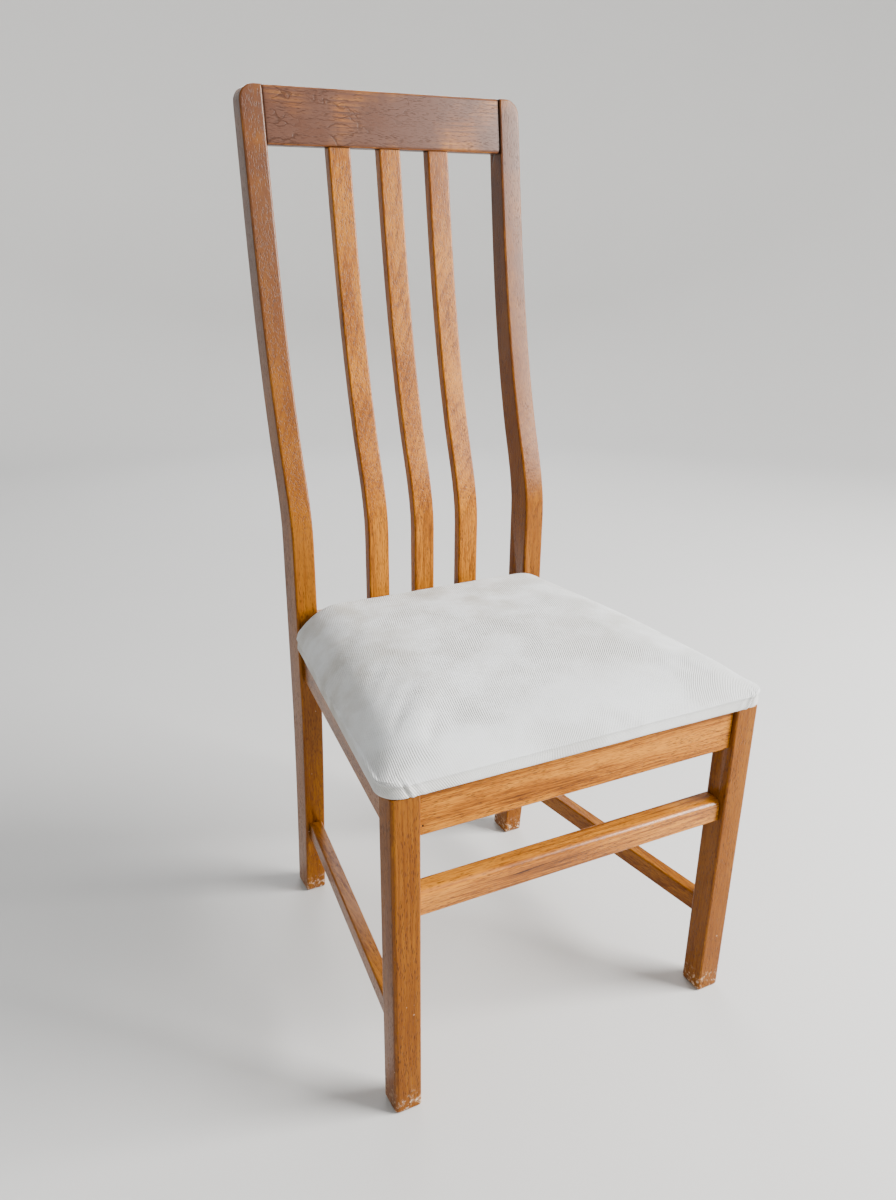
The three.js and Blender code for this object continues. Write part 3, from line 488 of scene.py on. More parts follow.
def varnished_wood(
    name,
    grain,
    rings=0.3,
    deeper=0.0,
    polish=0.03,
    back_sheen=0.0,
    checks=False,
    scuffed_feet=False,
    pin_mark=None,
):
    """Stained and varnished hardwood whose grain runs along one axis.

    rings is how strongly the growth rings show, deeper is how much darker the whole piece is coloured,
    polish is the weight of the varnish, back_sheen is how strongly a greyer brown is painted towards the
    top of the back as painted sheen of reflected light, with a painted shade line beside the crest rail
    on pieces without checks, checks adds fine cracks and a painted shade line at the crest rail's ends,
    scuffed_feet adds knocks near the floor, and pin_mark is the place of a small nail hole."""
    wood = bpy.context.scene.chair_wood
    material, graph, shader = new_material(name)
    place = graph.add("ShaderNodeTexCoord").outputs["Object"]
    parts = graph.split(place)
    along_grain = graph.join(*(parts[axis] for axis in GRAIN_ORDER[grain]))
    figure = graph.group(
        cached_group("Sawn grain", sawn_grain),
        Vector=along_grain,
        Ring_Spacing=wood.ring_spacing,
        Pore_Length=wood.pore_length,
        Pore_Width=wood.pore_width,
    )
    edges = graph.group(cached_group("Edge wear", edge_wear), Vector=place, Patchiness=45.0)

    depth = graph.math("MULTIPLY_ADD", figure["Rings"], rings, graph.math("MULTIPLY", figure["Tone"], 0.8))
    depth = graph.math("MULTIPLY_ADD", figure["Fibres"], 0.90, depth)
    colour = graph.mix(graph.step(depth, 0.66, 1.00), rgb(wood.pale), rgb(wood.warm))
    colour = graph.mix(graph.step(depth, 0.88, 1.30), colour, rgb(wood.dark))
    streaks = graph.math("MULTIPLY", graph.step(figure["Rings"], 0.15, 0.8), 1.3 * rings, clamp=True)
    colour = graph.mix(streaks, colour, rgb(wood.dark))
    colour = graph.mix(deeper, colour, rgb(tuple(0.5 * c for c in wood.warm)))
    # Painted sheen: towards the top of the back the colour is mixed in patches towards a greyer brown,
    # standing in for light reflected in the varnish.
    if back_sheen:
        rise = graph.step(parts["Z"], SEAT_FRAME_TOP + 0.12, POST_HIGH.z - 0.05)
        cloudy = graph.step(graph.noise(place, 14.0, 3.0), 0.10, 0.55)
        sheen_mask = graph.math("MULTIPLY", graph.math("MULTIPLY", rise, cloudy), back_sheen, clamp=True)
        colour = graph.mix(sheen_mask, colour, rgb(wood.sheen_tint))
    colour = graph.mix(graph.math("MULTIPLY", figure["Pores"], 0.80), colour, rgb(wood.dark))
    amber = tuple(1.15 * c for c in wood.warm)
    colour = graph.mix(graph.math("MULTIPLY", edges["Edge"], 0.35), colour, rgb(amber))
    colour = graph.mix(graph.math("MULTIPLY", edges["Wear"], 0.30), colour, rgb(wood.pale))

    # Painted shade: a dark line on the pieces beside the crest rail's ends, where shade falls in the joint.
    if back_sheen and not checks:
        inner = graph.math("ADD", graph.math("ABSOLUTE", parts["X"]), POST_HIGH.x)
        beside = graph.math("SUBTRACT", 1.0, graph.step(inner, 0.6 * MM, 2.2 * MM))
        up = graph.step(parts["Z"], CREST_LOW.z - 2 * MM, CREST_LOW.z + 1 * MM)
        colour = graph.mix(graph.math("MULTIPLY", beside, up), colour, rgb(wood.dark))

    ridges = graph.math("MULTIPLY", figure["Fibres"], 0.35)
    height = graph.math("MULTIPLY_ADD", figure["Pores"], -1.0, ridges)
    roughness = graph.math("MULTIPLY_ADD", figure["Fibres"], 0.16, 0.22)
    roughness = graph.math("MULTIPLY_ADD", figure["Pores"], 0.2, roughness)

    if checks:
        long_way = graph.vector("MULTIPLY", place, (0.15, 1.0, 1.0))
        warp = graph.add("ShaderNodeTexNoise", {"Vector": place, "Scale": 38.0, "Detail": 3.0})
        bent = graph.vector("MULTIPLY_ADD", warp.outputs["Color"], (0.013, 0.013, 0.013), long_way)
        edge_distance = graph.cells(bent, 80.0, "DISTANCE_TO_EDGE")
        line = graph.math("SUBTRACT", 1.0, graph.step(edge_distance, 0.012, 0.045))
        leftward = graph.step(parts["X"], 0.10, -0.10)
        where = graph.step(graph.noise(place, 21.0, 2.0), 0.40, 0.56)
        crack = graph.math("MULTIPLY", line, graph.math("MULTIPLY_ADD", leftward, 0.8, 0.2))
        crack = graph.math("MULTIPLY", crack, where)
        colour = graph.mix(graph.math("MULTIPLY", crack, 0.6), colour, rgb(wood.dark))
        # Painted shade: a dark line at the crest rail's ends, where they meet the posts.
        from_joint = graph.math("SUBTRACT", graph.math("ABSOLUTE", parts["X"]), -POST_HIGH.x)
        joint_shade = graph.step(from_joint, -4 * MM, -0.5 * MM)
        colour = graph.mix(graph.math("MULTIPLY", joint_shade, 0.85), colour, rgb(wood.dark))
        height = graph.math("MULTIPLY_ADD", crack, -0.9, height)
        roughness = graph.math("MULTIPLY_ADD", where, 0.10, roughness)
    if scuffed_feet:
        low = graph.math("SUBTRACT", 1.0, graph.step(parts["Z"], 0.03, 0.22))
        spread = graph.math("MULTIPLY_ADD", low, 0.45, 0.02)
        knocked = graph.group(cached_group("Knocks", knocks), Vector=place, Scale=120.0, Amount=spread)
        on_edge = graph.math("MULTIPLY_ADD", edges["Edge"], 0.6, 0.4, clamp=True)
        nick = graph.math("MULTIPLY", knocked["Nicks"], on_edge)
        bare = (0.80, 0.66, 0.48, 1.0)
        colour = graph.mix(nick, colour, bare)
        foot = graph.math("SUBTRACT", 1.0, graph.step(parts["Z"], 6 * MM, 34 * MM))
        rubbed = graph.step(graph.noise(place, 190.0, 4.0, 0.7), 0.50, 0.66)
        rubbed = graph.math("MULTIPLY", graph.math("MULTIPLY", rubbed, foot), 0.6)
        colour = graph.mix(rubbed, colour, bare)
        roughness = graph.math("MULTIPLY_ADD", rubbed, 0.4, roughness)
        height = graph.math("MULTIPLY_ADD", nick, -1.2, height)
    if pin_mark is not None:
        away = graph.vector("DISTANCE", place, tuple(pin_mark))
        hole = graph.math("SUBTRACT", 1.0, graph.step(away, 0.8 * MM, 1.4 * MM))
        colour = graph.mix(hole, colour, rgb(tuple(0.3 * c for c in wood.dark)))
        height = graph.math("MULTIPLY_ADD", hole, -3.0, height)

    graph.feed(shader.inputs["Base Color"], colour)
    graph.feed(shader.inputs["Roughness"], roughness)
    shader.inputs["Specular IOR Level"].default_value = 0.12
    shader.inputs["Coat Roughness"].default_value = 0.24
    sheen = graph.step(parts["Z"], SEAT_FRAME_TOP, POST_HIGH.z)
    graph.feed(shader.inputs["Coat Weight"], graph.math("MULTIPLY_ADD", sheen, 0.15, polish))
    put_bump(graph, shader, height, 0.18 * MM)
    return material


def bare_wood(name, grain, pale, dark):
    """Unfinished wood of the hidden blocks and dowels, with faint saw marks."""
    material, graph, shader = new_material(name)
    place = graph.add("ShaderNodeTexCoord").outputs["Object"]
    parts = graph.split(place)
    along_grain = graph.join(*(parts[axis] for axis in GRAIN_ORDER[grain]))
    figure = graph.group(cached_group("Sawn grain", sawn_grain), Vector=along_grain)
    saw = graph.math("SINE", graph.math("MULTIPLY", parts[GRAIN_ORDER[grain][2]], 2 * math.pi / (1.7 * MM)))
    tint = graph.math("MULTIPLY_ADD", figure["Rings"], 0.5, graph.math("MULTIPLY", figure["Fibres"], 0.6))
    colour = graph.mix(graph.step(tint, 0.2, 0.9), rgb(pale), rgb(dark))
    grime = graph.step(graph.noise(place, 30.0, 4.0), 0.45, 0.8)
    colour = graph.mix(graph.math("MULTIPLY", grime, 0.35), colour, rgb(tuple(0.5 * c for c in dark)))
    graph.feed(shader.inputs["Base Color"], colour)
    graph.feed(shader.inputs["Roughness"], graph.math("MULTIPLY_ADD", figure["Fibres"], 0.2, 0.6))
    height = graph.math("MULTIPLY_ADD", saw, 0.25, figure["Fibres"])
    put_bump(graph, shader, height, 0.10 * MM)
    return material


def plywood(name):
    """Rotary-cut face veneer, with the plies showing as stripes round the edge."""
    material, graph, shader = new_material(name)
    place = graph.add("ShaderNodeTexCoord").outputs["Object"]
    parts = graph.split(place)
    bent = graph.join(parts["Z"], parts["Y"], parts["X"])
    figure = graph.group(
        cached_group("Sawn grain", sawn_grain), Vector=bent, Ring_Spacing=14 * MM, Pore_Width=1.6 * MM
    )
    face = graph.mix(graph.step(figure["Tone"], 0.3, 0.7), (0.60, 0.43, 0.25, 1), (0.47, 0.31, 0.16, 1))
    face = graph.mix(graph.math("MULTIPLY", figure["Rings"], 0.5), face, (0.33, 0.20, 0.10, 1))
    above = graph.math("SUBTRACT", parts["Z"], BOARD_LOW.z)
    layer = graph.math("DIVIDE", above, BOARD_HIGH.z - BOARD_LOW.z)
    band = graph.step(graph.math("SINE", graph.math("MULTIPLY", layer, 9 * math.pi)), -0.2, 0.2)
    ply = graph.mix(band, (0.50, 0.34, 0.18, 1), (0.27, 0.16, 0.08, 1))
    upright = graph.split(graph.add("ShaderNodeNewGeometry").outputs["Normal"])["Z"]
    is_face = graph.step(graph.math("ABSOLUTE", upright), 0.4, 0.6)
    graph.feed(shader.inputs["Base Color"], graph.mix(is_face, ply, face))
    graph.feed(shader.inputs["Roughness"], graph.math("MULTIPLY_ADD", figure["Fibres"], 0.2, 0.62))
    put_bump(graph, shader, figure["Fibres"], 0.12 * MM)
    return material


def open_foam(name):
    """Open-cell foam, a little yellowed, with painted shade in its cell holes."""
    material, graph, shader = new_material(name)
    place = graph.add("ShaderNodeTexCoord").outputs["Object"]
    holes = graph.cells(place, 620.0)
    aged = graph.noise(place, 9.0, 3.0)
    colour = graph.mix(aged, (0.78, 0.70, 0.44, 1), (0.66, 0.53, 0.27, 1))
    # Painted shade: the cell holes are coloured dark brown, and the walls between them keep the foam's
    # colour.
    walls = graph.step(holes, 0.2, 0.6)
    graph.feed(shader.inputs["Base Color"], graph.mix(walls, (0.4, 0.3, 0.14, 1), colour))
    shader.inputs["Roughness"].default_value = 0.95
    put_bump(graph, shader, holes, 0.6 * MM)
    return material


def zinc_plate(name):
    """Bright zinc with a slight yellow cast, dulled in patches."""
    material, graph, shader = new_material(name)
    place = graph.add("ShaderNodeTexCoord").outputs["Object"]
    dull = graph.noise(place, 260.0, 4.0, 0.6)
    colour = graph.mix(dull, (0.63, 0.61, 0.55, 1), (0.42, 0.39, 0.32, 1))
    graph.feed(shader.inputs["Base Color"], colour)
    graph.feed(shader.inputs["Roughness"], graph.math("MULTIPLY_ADD", dull, 0.3, 0.2))
    shader.inputs["Metallic"].default_value = 1.0
    return material


def seat_cloth(name):
    """Pale ribbed cloth, rubbed smooth, with soiling in places and painted shade in the grooves between the
    ribs.
    """
    pad = bpy.context.scene.chair_pad
    material, graph, shader = new_material(name)
    place = graph.add("ShaderNodeTexCoord").outputs["Object"]
    weave = graph.group(
        cached_group("Twill", twill), Vector=place, Rib_Pitch=pad.rib, Top=COVER_HIGH.z
    )
    rear = COVER_HIGH.y
    top = COVER_HIGH.z
    stains = (
        ((-0.12, rear - 0.05, top), 0.20, 0.95),
        ((0.02, rear - 0.06, top), 0.22, 0.95),
        ((-0.19, rear - 0.17, top - 0.02), 0.17, 1.0),
        ((0.13, rear - 0.20, top), 0.14, 0.6),
        ((-0.10, rear - 0.24, top), 0.13, 0.6),
    )
    soil = None
    for centre, radius, amount in stains:
        blotch = graph.group(
            cached_group("Soiling", soiling), Vector=place, Centre=centre, Radius=radius
        )["Blotch"]
        weighed = graph.math("MULTIPLY", blotch, amount)
        soil = weighed if soil is None else graph.math("MAXIMUM", soil, weighed)
    haze = graph.step(graph.noise(place, 7.0, 4.0, 0.6), 0.42, 0.78)
    soil = graph.math("MULTIPLY_ADD", haze, 0.34, soil, clamp=True)
    above = graph.math("SUBTRACT", graph.split(place)["Z"], SEAT_FRAME_TOP + pad.border)
    band = graph.math("SUBTRACT", 1.0, graph.step(above, -4 * MM, -1.5 * MM))
    soil = graph.math("MULTIPLY_ADD", band, 0.30, soil, clamp=True)
    colour = graph.mix(soil, rgb(pad.colour), rgb(pad.soil_and_rib_shade))
    # Painted shade: the grooves between the ribs are mixed towards the darker cloth colour.
    shade = graph.math("MULTIPLY", graph.math("SUBTRACT", 1.0, weave["Ribs"]), weave["Clarity"])
    colour = graph.mix(graph.math("MULTIPLY", shade, 0.55), colour, rgb(pad.soil_and_rib_shade))
    colour = graph.mix(graph.math("MULTIPLY", weave["Threads"], 0.05), colour, (0.8, 0.8, 0.78, 1))
    flecks = graph.group(cached_group("Knocks", knocks), Vector=place, Scale=70.0, Amount=0.012)
    colour = graph.mix(graph.math("MULTIPLY", flecks["Nicks"], 0.55), colour, (0.10, 0.09, 0.08, 1))
    graph.feed(shader.inputs["Base Color"], colour)
    graph.feed(shader.inputs["Roughness"], graph.math("MULTIPLY_ADD", soil, -0.12, 0.86))
    shader.inputs["Sheen Weight"].default_value = 0.22
    shader.inputs["Sheen Roughness"].default_value = 0.5
    shader.inputs["Specular IOR Level"].default_value = 0.3
    raised = graph.math("MULTIPLY_ADD", weave["Clarity"], 0.75, 0.25)
    ribbing = graph.math("MULTIPLY", weave["Ribs"], raised)
    height = graph.math("MULTIPLY_ADD", weave["Threads"], 0.35, ribbing)
    put_bump(graph, shader, height, 0.60 * MM)
    return material


def studio_paint(name):
    """Even pale floor with a faint mottling."""
    stage = bpy.context.scene.chair_stage
    material, graph, shader = new_material(name)
    place = graph.add("ShaderNodeTexCoord").outputs["Object"]
    mottle = graph.noise(place, 3.0, 3.0)
    darker = tuple(0.97 * c for c in stage.floor_colour)
    graph.feed(shader.inputs["Base Color"], graph.mix(mottle, rgb(stage.floor_colour), rgb(darker)))
    shader.inputs["Roughness"].default_value = 0.75
    shader.inputs["Specular IOR Level"].default_value = 0.2
    return material


# ---- Meshes ------------------------------------------------------------------------------------


def dress(name, material, edge=0.0):
    """Gives a frame piece its finish, joins its split corners and shades it smooth.

    edge is the width of a small bevel for pieces that have sharp edges."""
    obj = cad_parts[name]
    mesh = obj.data
    mesh.materials.clear()
    mesh.materials.append(material)
    for label in ("custom_normal", "sharp_edge"):
        attribute = mesh.attributes.get(label)
        if attribute is not None:
            mesh.attributes.remove(attribute)
    mesh.shade_smooth()
    weld = obj.modifiers.new("Join corners", "WELD")
    weld.merge_threshold = 0.01 * MM
    if edge:
        bevel = obj.modifiers.new("Ease edges", "BEVEL")
        bevel.width = edge
        bevel.segments = 2
        bevel.limit_method = "ANGLE"
        bevel.angle_limit = math.radians(40)
    normals = obj.modifiers.new("Even faces", "WEIGHTED_NORMAL")
    normals.weight = 100
    normals.keep_sharp = False


def new_piece(name, points, faces, material, body="root"):
    """A mesh piece that rides on the chair."""
    mesh = bpy.data.meshes.new(name)
    mesh.from_pydata([tuple(p) for p in points], [], faces)
    mesh.validate()
    mesh.shade_smooth()
    mesh.materials.append(material)
    obj = bpy.data.objects.new(name, mesh)
    bpy.context.scene.collection.objects.link(obj)
    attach(obj, body)
    return obj


def make_active(obj):
    for other in bpy.context.selected_objects:
        other.select_set(False)
    obj.select_set(True)
    bpy.context.view_layer.objects.active = obj


def apply_modifier(obj, modifier):
    make_active(obj)
    if "FINISHED" not in bpy.ops.object.modifier_apply(modifier=modifier.name):
        raise RuntimeError(f"{modifier.name} can't be applied to {obj.name}")


# ---- Seat pad ------------------------------------------------------------------------------------

# Half width at the front, and the corner radii, of the pad seen from above
PAD_WIDE = COVER_HIGH.x
FRONT_CORNER = 26 * MM
REAR_CORNER = 14 * MM
ACROSS = 92
ALONG = 76
CROWD_AT_EDGES = 0.82


def rear_half_width():
    """Half width of the cover at its rear edge, read from its rearmost points."""
    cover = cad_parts["seat_cover"].data.vertices
    depth = COVER_HIGH.y - COVER_LOW.y
    at_rear = [abs(v.co.x) for v in cover if v.co.y > COVER_HIGH.y - 0.06 * depth]
    return max(at_rear)


PAD_REAR_HALF = rear_half_width()


def pad_corners(inset):
    """Centres and radii of the pad's four corners, front left first and anticlockwise from above."""
    front, rear = COVER_LOW.y + inset, COVER_HIGH.y - inset
    wide, narrow = PAD_WIDE - inset, PAD_REAR_HALF - inset
    near, far = max(FRONT_CORNER - inset, 1 * MM), max(REAR_CORNER - inset, 1 * MM)
    return (
        (Vector((-wide + near, front + near)), near, math.pi),
        (Vector((wide - near, front + near)), near, 1.5 * math.pi),
        (Vector((narrow - far, rear - far)), far, 0.0),
        (Vector((-narrow + far, rear - far)), far, 0.5 * math.pi),
    )


def pad_side(index, inset, steps, fractions):
    """Points along one side, from the middle of one rounded corner to the middle of the next."""
    corners = pad_corners(inset)
    centre, radius, start = corners[index]
    after, after_radius, after_start = corners[(index + 1) % 4]
    path = []
    for k in range(steps + 1):
        angle = start + math.pi / 4 + (k / steps) * math.pi / 4
        path.append(centre + radius * Vector((math.cos(angle), math.sin(angle))))
    for k in range(steps + 1):
        angle = after_start + (k / steps) * math.pi / 4
        path.append(after + after_radius * Vector((math.cos(angle), math.sin(angle))))
    lengths = [0.0]
    for a, b in zip(path, path[1:]):
        lengths.append(lengths[-1] + (b - a).length)
    points = []
    segment = 0
    for fraction in fractions:
        target = fraction * lengths[-1]
        while segment < len(path) - 2 and lengths[segment + 1] < target:
            segment += 1
        span = lengths[segment + 1] - lengths[segment]
        share = (target - lengths[segment]) / span if span else 0.0
        points.append(path[segment].lerp(path[segment + 1], min(max(share, 0.0), 1.0)))
    return points


def graded(count):
    """Fractions from 0 to 1 that crowd towards both ends."""
    steps = [k / count for k in range(count + 1)]
    return [t - CROWD_AT_EDGES * math.sin(2 * math.pi * t) / (2 * math.pi) for t in steps]


def pad_sides(inset):
    """The four sides as lists of points: front, right, rear and left, in order round the pad."""
    counts = (ACROSS, ALONG, ACROSS, ALONG)
    return [pad_side(k, inset, 12, graded(count)) for k, count in enumerate(counts)]


def pad_loop(inset):
    """All the points round the pad at an inset, without repeats."""
    return [p for side in pad_sides(inset) for p in side[:-1]]


def ease_out(t):
    t = min(max(t, 0.0), 1.0)
    return 1.0 - (1.0 - t) ** 2


def pad_height(x, y, edge_inset):
    """Height of the pad's top above the seat frame."""
    pad = bpy.context.scene.chair_pad
    depth = (y - COVER_LOW.y) / (COVER_HIGH.y - COVER_LOW.y)
    half = PAD_WIDE + (PAD_REAR_HALF - PAD_WIDE) * depth
    from_side = max(half - abs(x) - edge_inset, 0.0)
    from_front = max(y - COVER_LOW.y - edge_inset, 0.0)
    from_rear = max(COVER_HIGH.y - y - edge_inset, 0.0)
    side = max(1.0 - from_side / pad.side_roll, 0.0) ** 2.2
    front = max(1.0 - from_front / pad.front_roll, 0.0) ** 2
    rear = max(1.0 - from_rear / pad.rear_roll, 0.0) ** 2.6
    roll = (1.0 - side) ** 0.8 * (1.0 - front) * (1.0 - rear) ** (1 / 2.2)
    risen = math.sin(0.5 * math.pi * min((y - COVER_LOW.y) / pad.crown_depth, 1.0))
    crown = pad.crown - SWELL_ROOM - pad.front_drop * (1.0 - risen)
    return pad.border + (crown - pad.border) * roll


# The cover's profile from its top edge, down the band and under the board, as inset and height
TOP_EDGE_INSET = 2.0 * MM
# How far below the crown's set height the middle of the cover starts. The simulation then lifts
# it past that height, as far as the pad's reach allows.
SWELL_ROOM = 1 * MM
# How far the foam lies inside the cover's outline, below its top and above the board
FOAM_INSET = 8 * MM
FOAM_DROP = 6 * MM
FOAM_GAP = 0.3 * MM
# Steps of the cloth simulation
SWELL_STEPS = 20


def band_profile(pad):
    rise = pad.border
    return (
        (0.8 * MM, rise - 0.5 * MM),
        (0.2 * MM, rise - 1.5 * MM),
        (0.4 * MM, rise - 2.6 * MM),
        (1.6 * MM, rise - 3.8 * MM),
        (1.7 * MM, 0.60 * rise),
        (1.1 * MM, 0.40 * rise),
        (0.7 * MM, 0.22 * rise),
        (1.2 * MM, 0.09 * rise),
        (2.2 * MM, 0.8 * MM),
        (4.4 * MM, 0.2 * MM),
        (9 * MM, 0.2 * MM),
        (15 * MM, 0.2 * MM),
        (21 * MM, 0.2 * MM),
    )


def pad_surface(inset, rows):
    """The pad's top as a grid and its sides as loops, as (points, faces, top point count)."""
    front, right, rear, left = pad_sides(inset)
    rear = rear[::-1]
    left = left[::-1]
    points = []
    for j, v in enumerate(graded(ALONG)):
        for i, u in enumerate(graded(ACROSS)):
            flat = front[i].lerp(rear[i], v) + left[j].lerp(right[j], u)
            flat -= front[0].lerp(front[-1], u).lerp(rear[0].lerp(rear[-1], u), v)
            points.append(flat)
    width = ACROSS + 1
    grid = [Vector((p.x, p.y, SEAT_FRAME_TOP + pad_height(p.x, p.y, inset))) for p in points]
    faces = [
        (j * width + i, j * width + i + 1, (j + 1) * width + i + 1, (j + 1) * width + i)
        for j in range(ALONG)
        for i in range(ACROSS)
    ]
    rim = [i for i in range(ACROSS)]
    rim += [j * width + ACROSS for j in range(ALONG)]
    rim += [ALONG * width + i for i in range(ACROSS, 0, -1)]
    rim += [j * width for j in range(ALONG, 0, -1)]
    above = rim
    for depth, height in rows:
        start = len(grid)
        loop = pad_loop(depth)
        grid += [Vector((p.x, p.y, SEAT_FRAME_TOP + height)) for p in loop]
        here = list(range(start, start + len(loop)))
        for k in range(len(rim)):
            after = (k + 1) % len(rim)
            faces.append((above[after], above[k], here[k], here[after]))
        above = here
    return grid, faces, width * (ALONG + 1)


def swell(obj, top_count):
    """Swells the cloth under pressure, and keeps each move up to the pad's reach."""
    pad = bpy.context.scene.chair_pad
    start = [v.co.copy() for v in obj.data.vertices]
    held = obj.vertex_groups.new(name="held")
    for index, place in enumerate(start):
        low = COVER_LOW.y
        edge = min(
            place.y - low,
            COVER_HIGH.y - place.y,
            PAD_WIDE + (PAD_REAR_HALF - PAD_WIDE) * (place.y - low) / (COVER_HIGH.y - low) - abs(place.x),
        )
        free = ease_out((edge - 8 * MM) / (40 * MM)) if index < top_count else 0.0
        held.add([index], 1.0 - 0.98 * free, "REPLACE")
    cloth = obj.modifiers.new("Swell", "CLOTH")
    cloth.settings.quality = 5
    cloth.settings.mass = 0.4
    cloth.settings.tension_stiffness = 30
    cloth.settings.compression_stiffness = 30
    cloth.settings.bending_stiffness = 2
    cloth.settings.use_pressure = True
    cloth.settings.uniform_pressure_force = pad.pressure
    cloth.settings.vertex_group_mass = held.name
    cloth.settings.effector_weights.gravity = 0
    cloth.collision_settings.use_collision = False
    cloth.point_cache.frame_start = 1
    cloth.point_cache.frame_end = SWELL_STEPS
    for step in range(1, SWELL_STEPS + 1):
        bpy.context.scene.frame_set(step)
    apply_modifier(obj, cloth)
    obj.vertex_groups.clear()
    for vertex, origin in zip(obj.data.vertices, start):
        move = vertex.co - origin
        if move.length > pad.reach:
            vertex.co = origin + move.normalized() * pad.reach
    bpy.context.scene.frame_set(1)


def ridge(distance, width):
    """A smooth bump across a line, 1 on it and 0 beyond the width."""
    t = min(abs(distance) / width, 1.0)
    return (1.0 - t * t) ** 2


def corner_fold(place, side):
    """Depth of the tuck in the cloth where it turns a front corner."""
    height = place.z - SEAT_FRAME_TOP
    if height > 0.03 or height < 0.0005 or place.y > COVER_LOW.y + 0.05:
        return 0.0
    around = side * place.x - (PAD_WIDE - FRONT_CORNER)
    lean = 0.45 * (0.02 - height)
    fade = ridge(height - 0.010, 0.014)
    fold = 1.5 * MM * ridge(around - 2 * MM + lean, 3.0 * MM)
    slit = 1.7 * MM * ridge(around - 6.2 * MM + lean, 2.2 * MM)
    small = 0.7 * MM * ridge(around + 7 * MM + 1.4 * lean, 3.4 * MM)
    return fade * (fold - slit + small)


def settle(obj):
    """Adds the tucks at the corners, the pull lines and the slight unevenness of old foam."""
    pad = bpy.context.scene.chair_pad
    mesh = obj.data
    normals = [v.normal.copy() for v in mesh.vertices]
    for vertex, normal in zip(mesh.vertices, normals):
        place = vertex.co
        height = place.z - SEAT_FRAME_TOP
        if height < 0.3 * MM:
            continue
        push = 0.55 * MM * noise.noise(Vector((place.x * 11, place.y * 11, 3.1)))
        push += 0.22 * MM * noise.noise(Vector((place.x * 34, place.y * 34, place.z * 34)))
        for side in (-1, 1):
            push += corner_fold(place, side)
        on_top = min(max((height - pad.border) / (8 * MM), 0.0), 1.0)
        from_front = place.y - COVER_LOW.y
        wave = 11 * MM + 3 * MM * noise.noise(Vector((place.x * 9, 0.0, 7.7)))
        fade = 0.5 + 0.5 * noise.noise(Vector((place.x * 13, 4.0, 1.3)))
        push += 0.55 * MM * fade * on_top * ridge(from_front - wave, 4 * MM)
        for side in (-1, 1):
            across = side * place.x - (PAD_WIDE - 6 * MM)
            reach = math.hypot(across, from_front - 6 * MM)
            if reach < 0.09 and on_top > 0:
                angle = math.atan2(from_front - 6 * MM, -across)
                pull = math.sin(9 * angle + 2.0 * side) * (1 - reach / 0.09) ** 2
                push += 0.24 * MM * pull * on_top
        vertex.co = place + normal * push


class CHAIR_OT_seat_pad(bpy.types.Operator):
    """Make the upholstered seat pad: its cover and the foam in it"""

    bl_idname = "chair.seat_pad"
    bl_label = "Seat pad"

    def execute(self, context):
        pad = context.scene.chair_pad
        points, faces, top_count = pad_surface(TOP_EDGE_INSET, band_profile(pad))
        cover = new_piece("seat_pad_cover", points, faces, seat_cloth("Ribbed cloth"))
        swell(cover, top_count)
        smooth = cover.modifiers.new("Finer cloth", "SUBSURF")
        smooth.levels = 1
        apply_modifier(cover, smooth)
        settle(cover)
        solid = cover.modifiers.new("Cloth thickness", "SOLIDIFY")
        solid.thickness = pad.thickness
        solid.offset = -1
        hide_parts("seat_cover")
        self.add_foam(pad)
        return {"FINISHED"}

    def add_foam(self, pad):
        """The foam block: the same crown, a few millimetres inside the cover."""
        inside = FOAM_INSET
        drop = FOAM_DROP
        floor = BOARD_HIGH.z - SEAT_FRAME_TOP + FOAM_GAP
        rows = ((inside + 0.5 * MM, 0.6 * pad.border + floor / 2), (inside + 0.5 * MM, floor))
        points, faces, top_count = pad_surface(inside, rows)
        for place in points[:top_count]:
            place.z = max(place.z - drop, SEAT_FRAME_TOP + floor + 1 * MM)
        faces.append(tuple(range(len(points) - len(pad_loop(inside)), len(points)))[::-1])
        foam = new_piece("seat_pad_foam", points, faces, open_foam("Pad foam"))
        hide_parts("seat_foam")


# ---- Frame -------------------------------------------------------------------------------------


class CHAIR_OT_front_legs(bpy.types.Operator):
    """Finish the two front legs"""

    bl_idname = "chair.front_legs"
    bl_label = "Front legs"

    def execute(self, context):
        wood = varnished_wood("Leg wood", "Z", rings=0.16, deeper=0.75, scuffed_feet=True)
        for side in SIDES:
            dress(f"front_leg_{side}", wood)
        return {"FINISHED"}


class CHAIR_OT_back(bpy.types.Operator):
    """Finish the rear posts, the slats and the crest rail"""

    bl_idname = "chair.back"
    bl_label = "Back"

    def execute(self, context):
        post_wood = varnished_wood(
            "Post wood", "Z", rings=0.14, deeper=0.70, back_sheen=0.9, scuffed_feet=True
        )
        slat_wood = varnished_wood("Slat wood", "Z", rings=0.12, deeper=0.30, back_sheen=0.25)
        crest_wood = varnished_wood("Crest wood", "X", rings=0.95, back_sheen=1.0, checks=True)
        for side in SIDES:
            dress(f"rear_post_{side}", post_wood)
        for name in ("slat_left", "slat_middle", "slat_right"):
            dress(name, slat_wood)
        dress("crest_rail", crest_wood)
        return {"FINISHED"}


class CHAIR_OT_rails(bpy.types.Operator):
    """Finish the seat rails and the stretchers"""

    bl_idname = "chair.rails"
    bl_label = "Rails and stretchers"

    def execute(self, context):
        nail = Vector((RAIL_LOW.x + 22 * MM, RAIL_LOW.y, RAIL_LOW.z + 12 * MM))
        crosswise = varnished_wood("Cross rail wood", "X", rings=0.14, pin_mark=nail)
        lengthwise = varnished_wood("Side rail wood", "Y", rings=0.16, deeper=0.50)
        polished = varnished_wood("Stretcher wood", "X", rings=0.14, polish=0.45)
        for name in ("front_rail", "rear_rail"):
            dress(name, crosswise)
        dress("front_stretcher", polished)
        for side in SIDES:
            dress(f"side_rail_{side}", lengthwise)
            dress(f"side_stretcher_{side}", lengthwise)
        return {"FINISHED"}


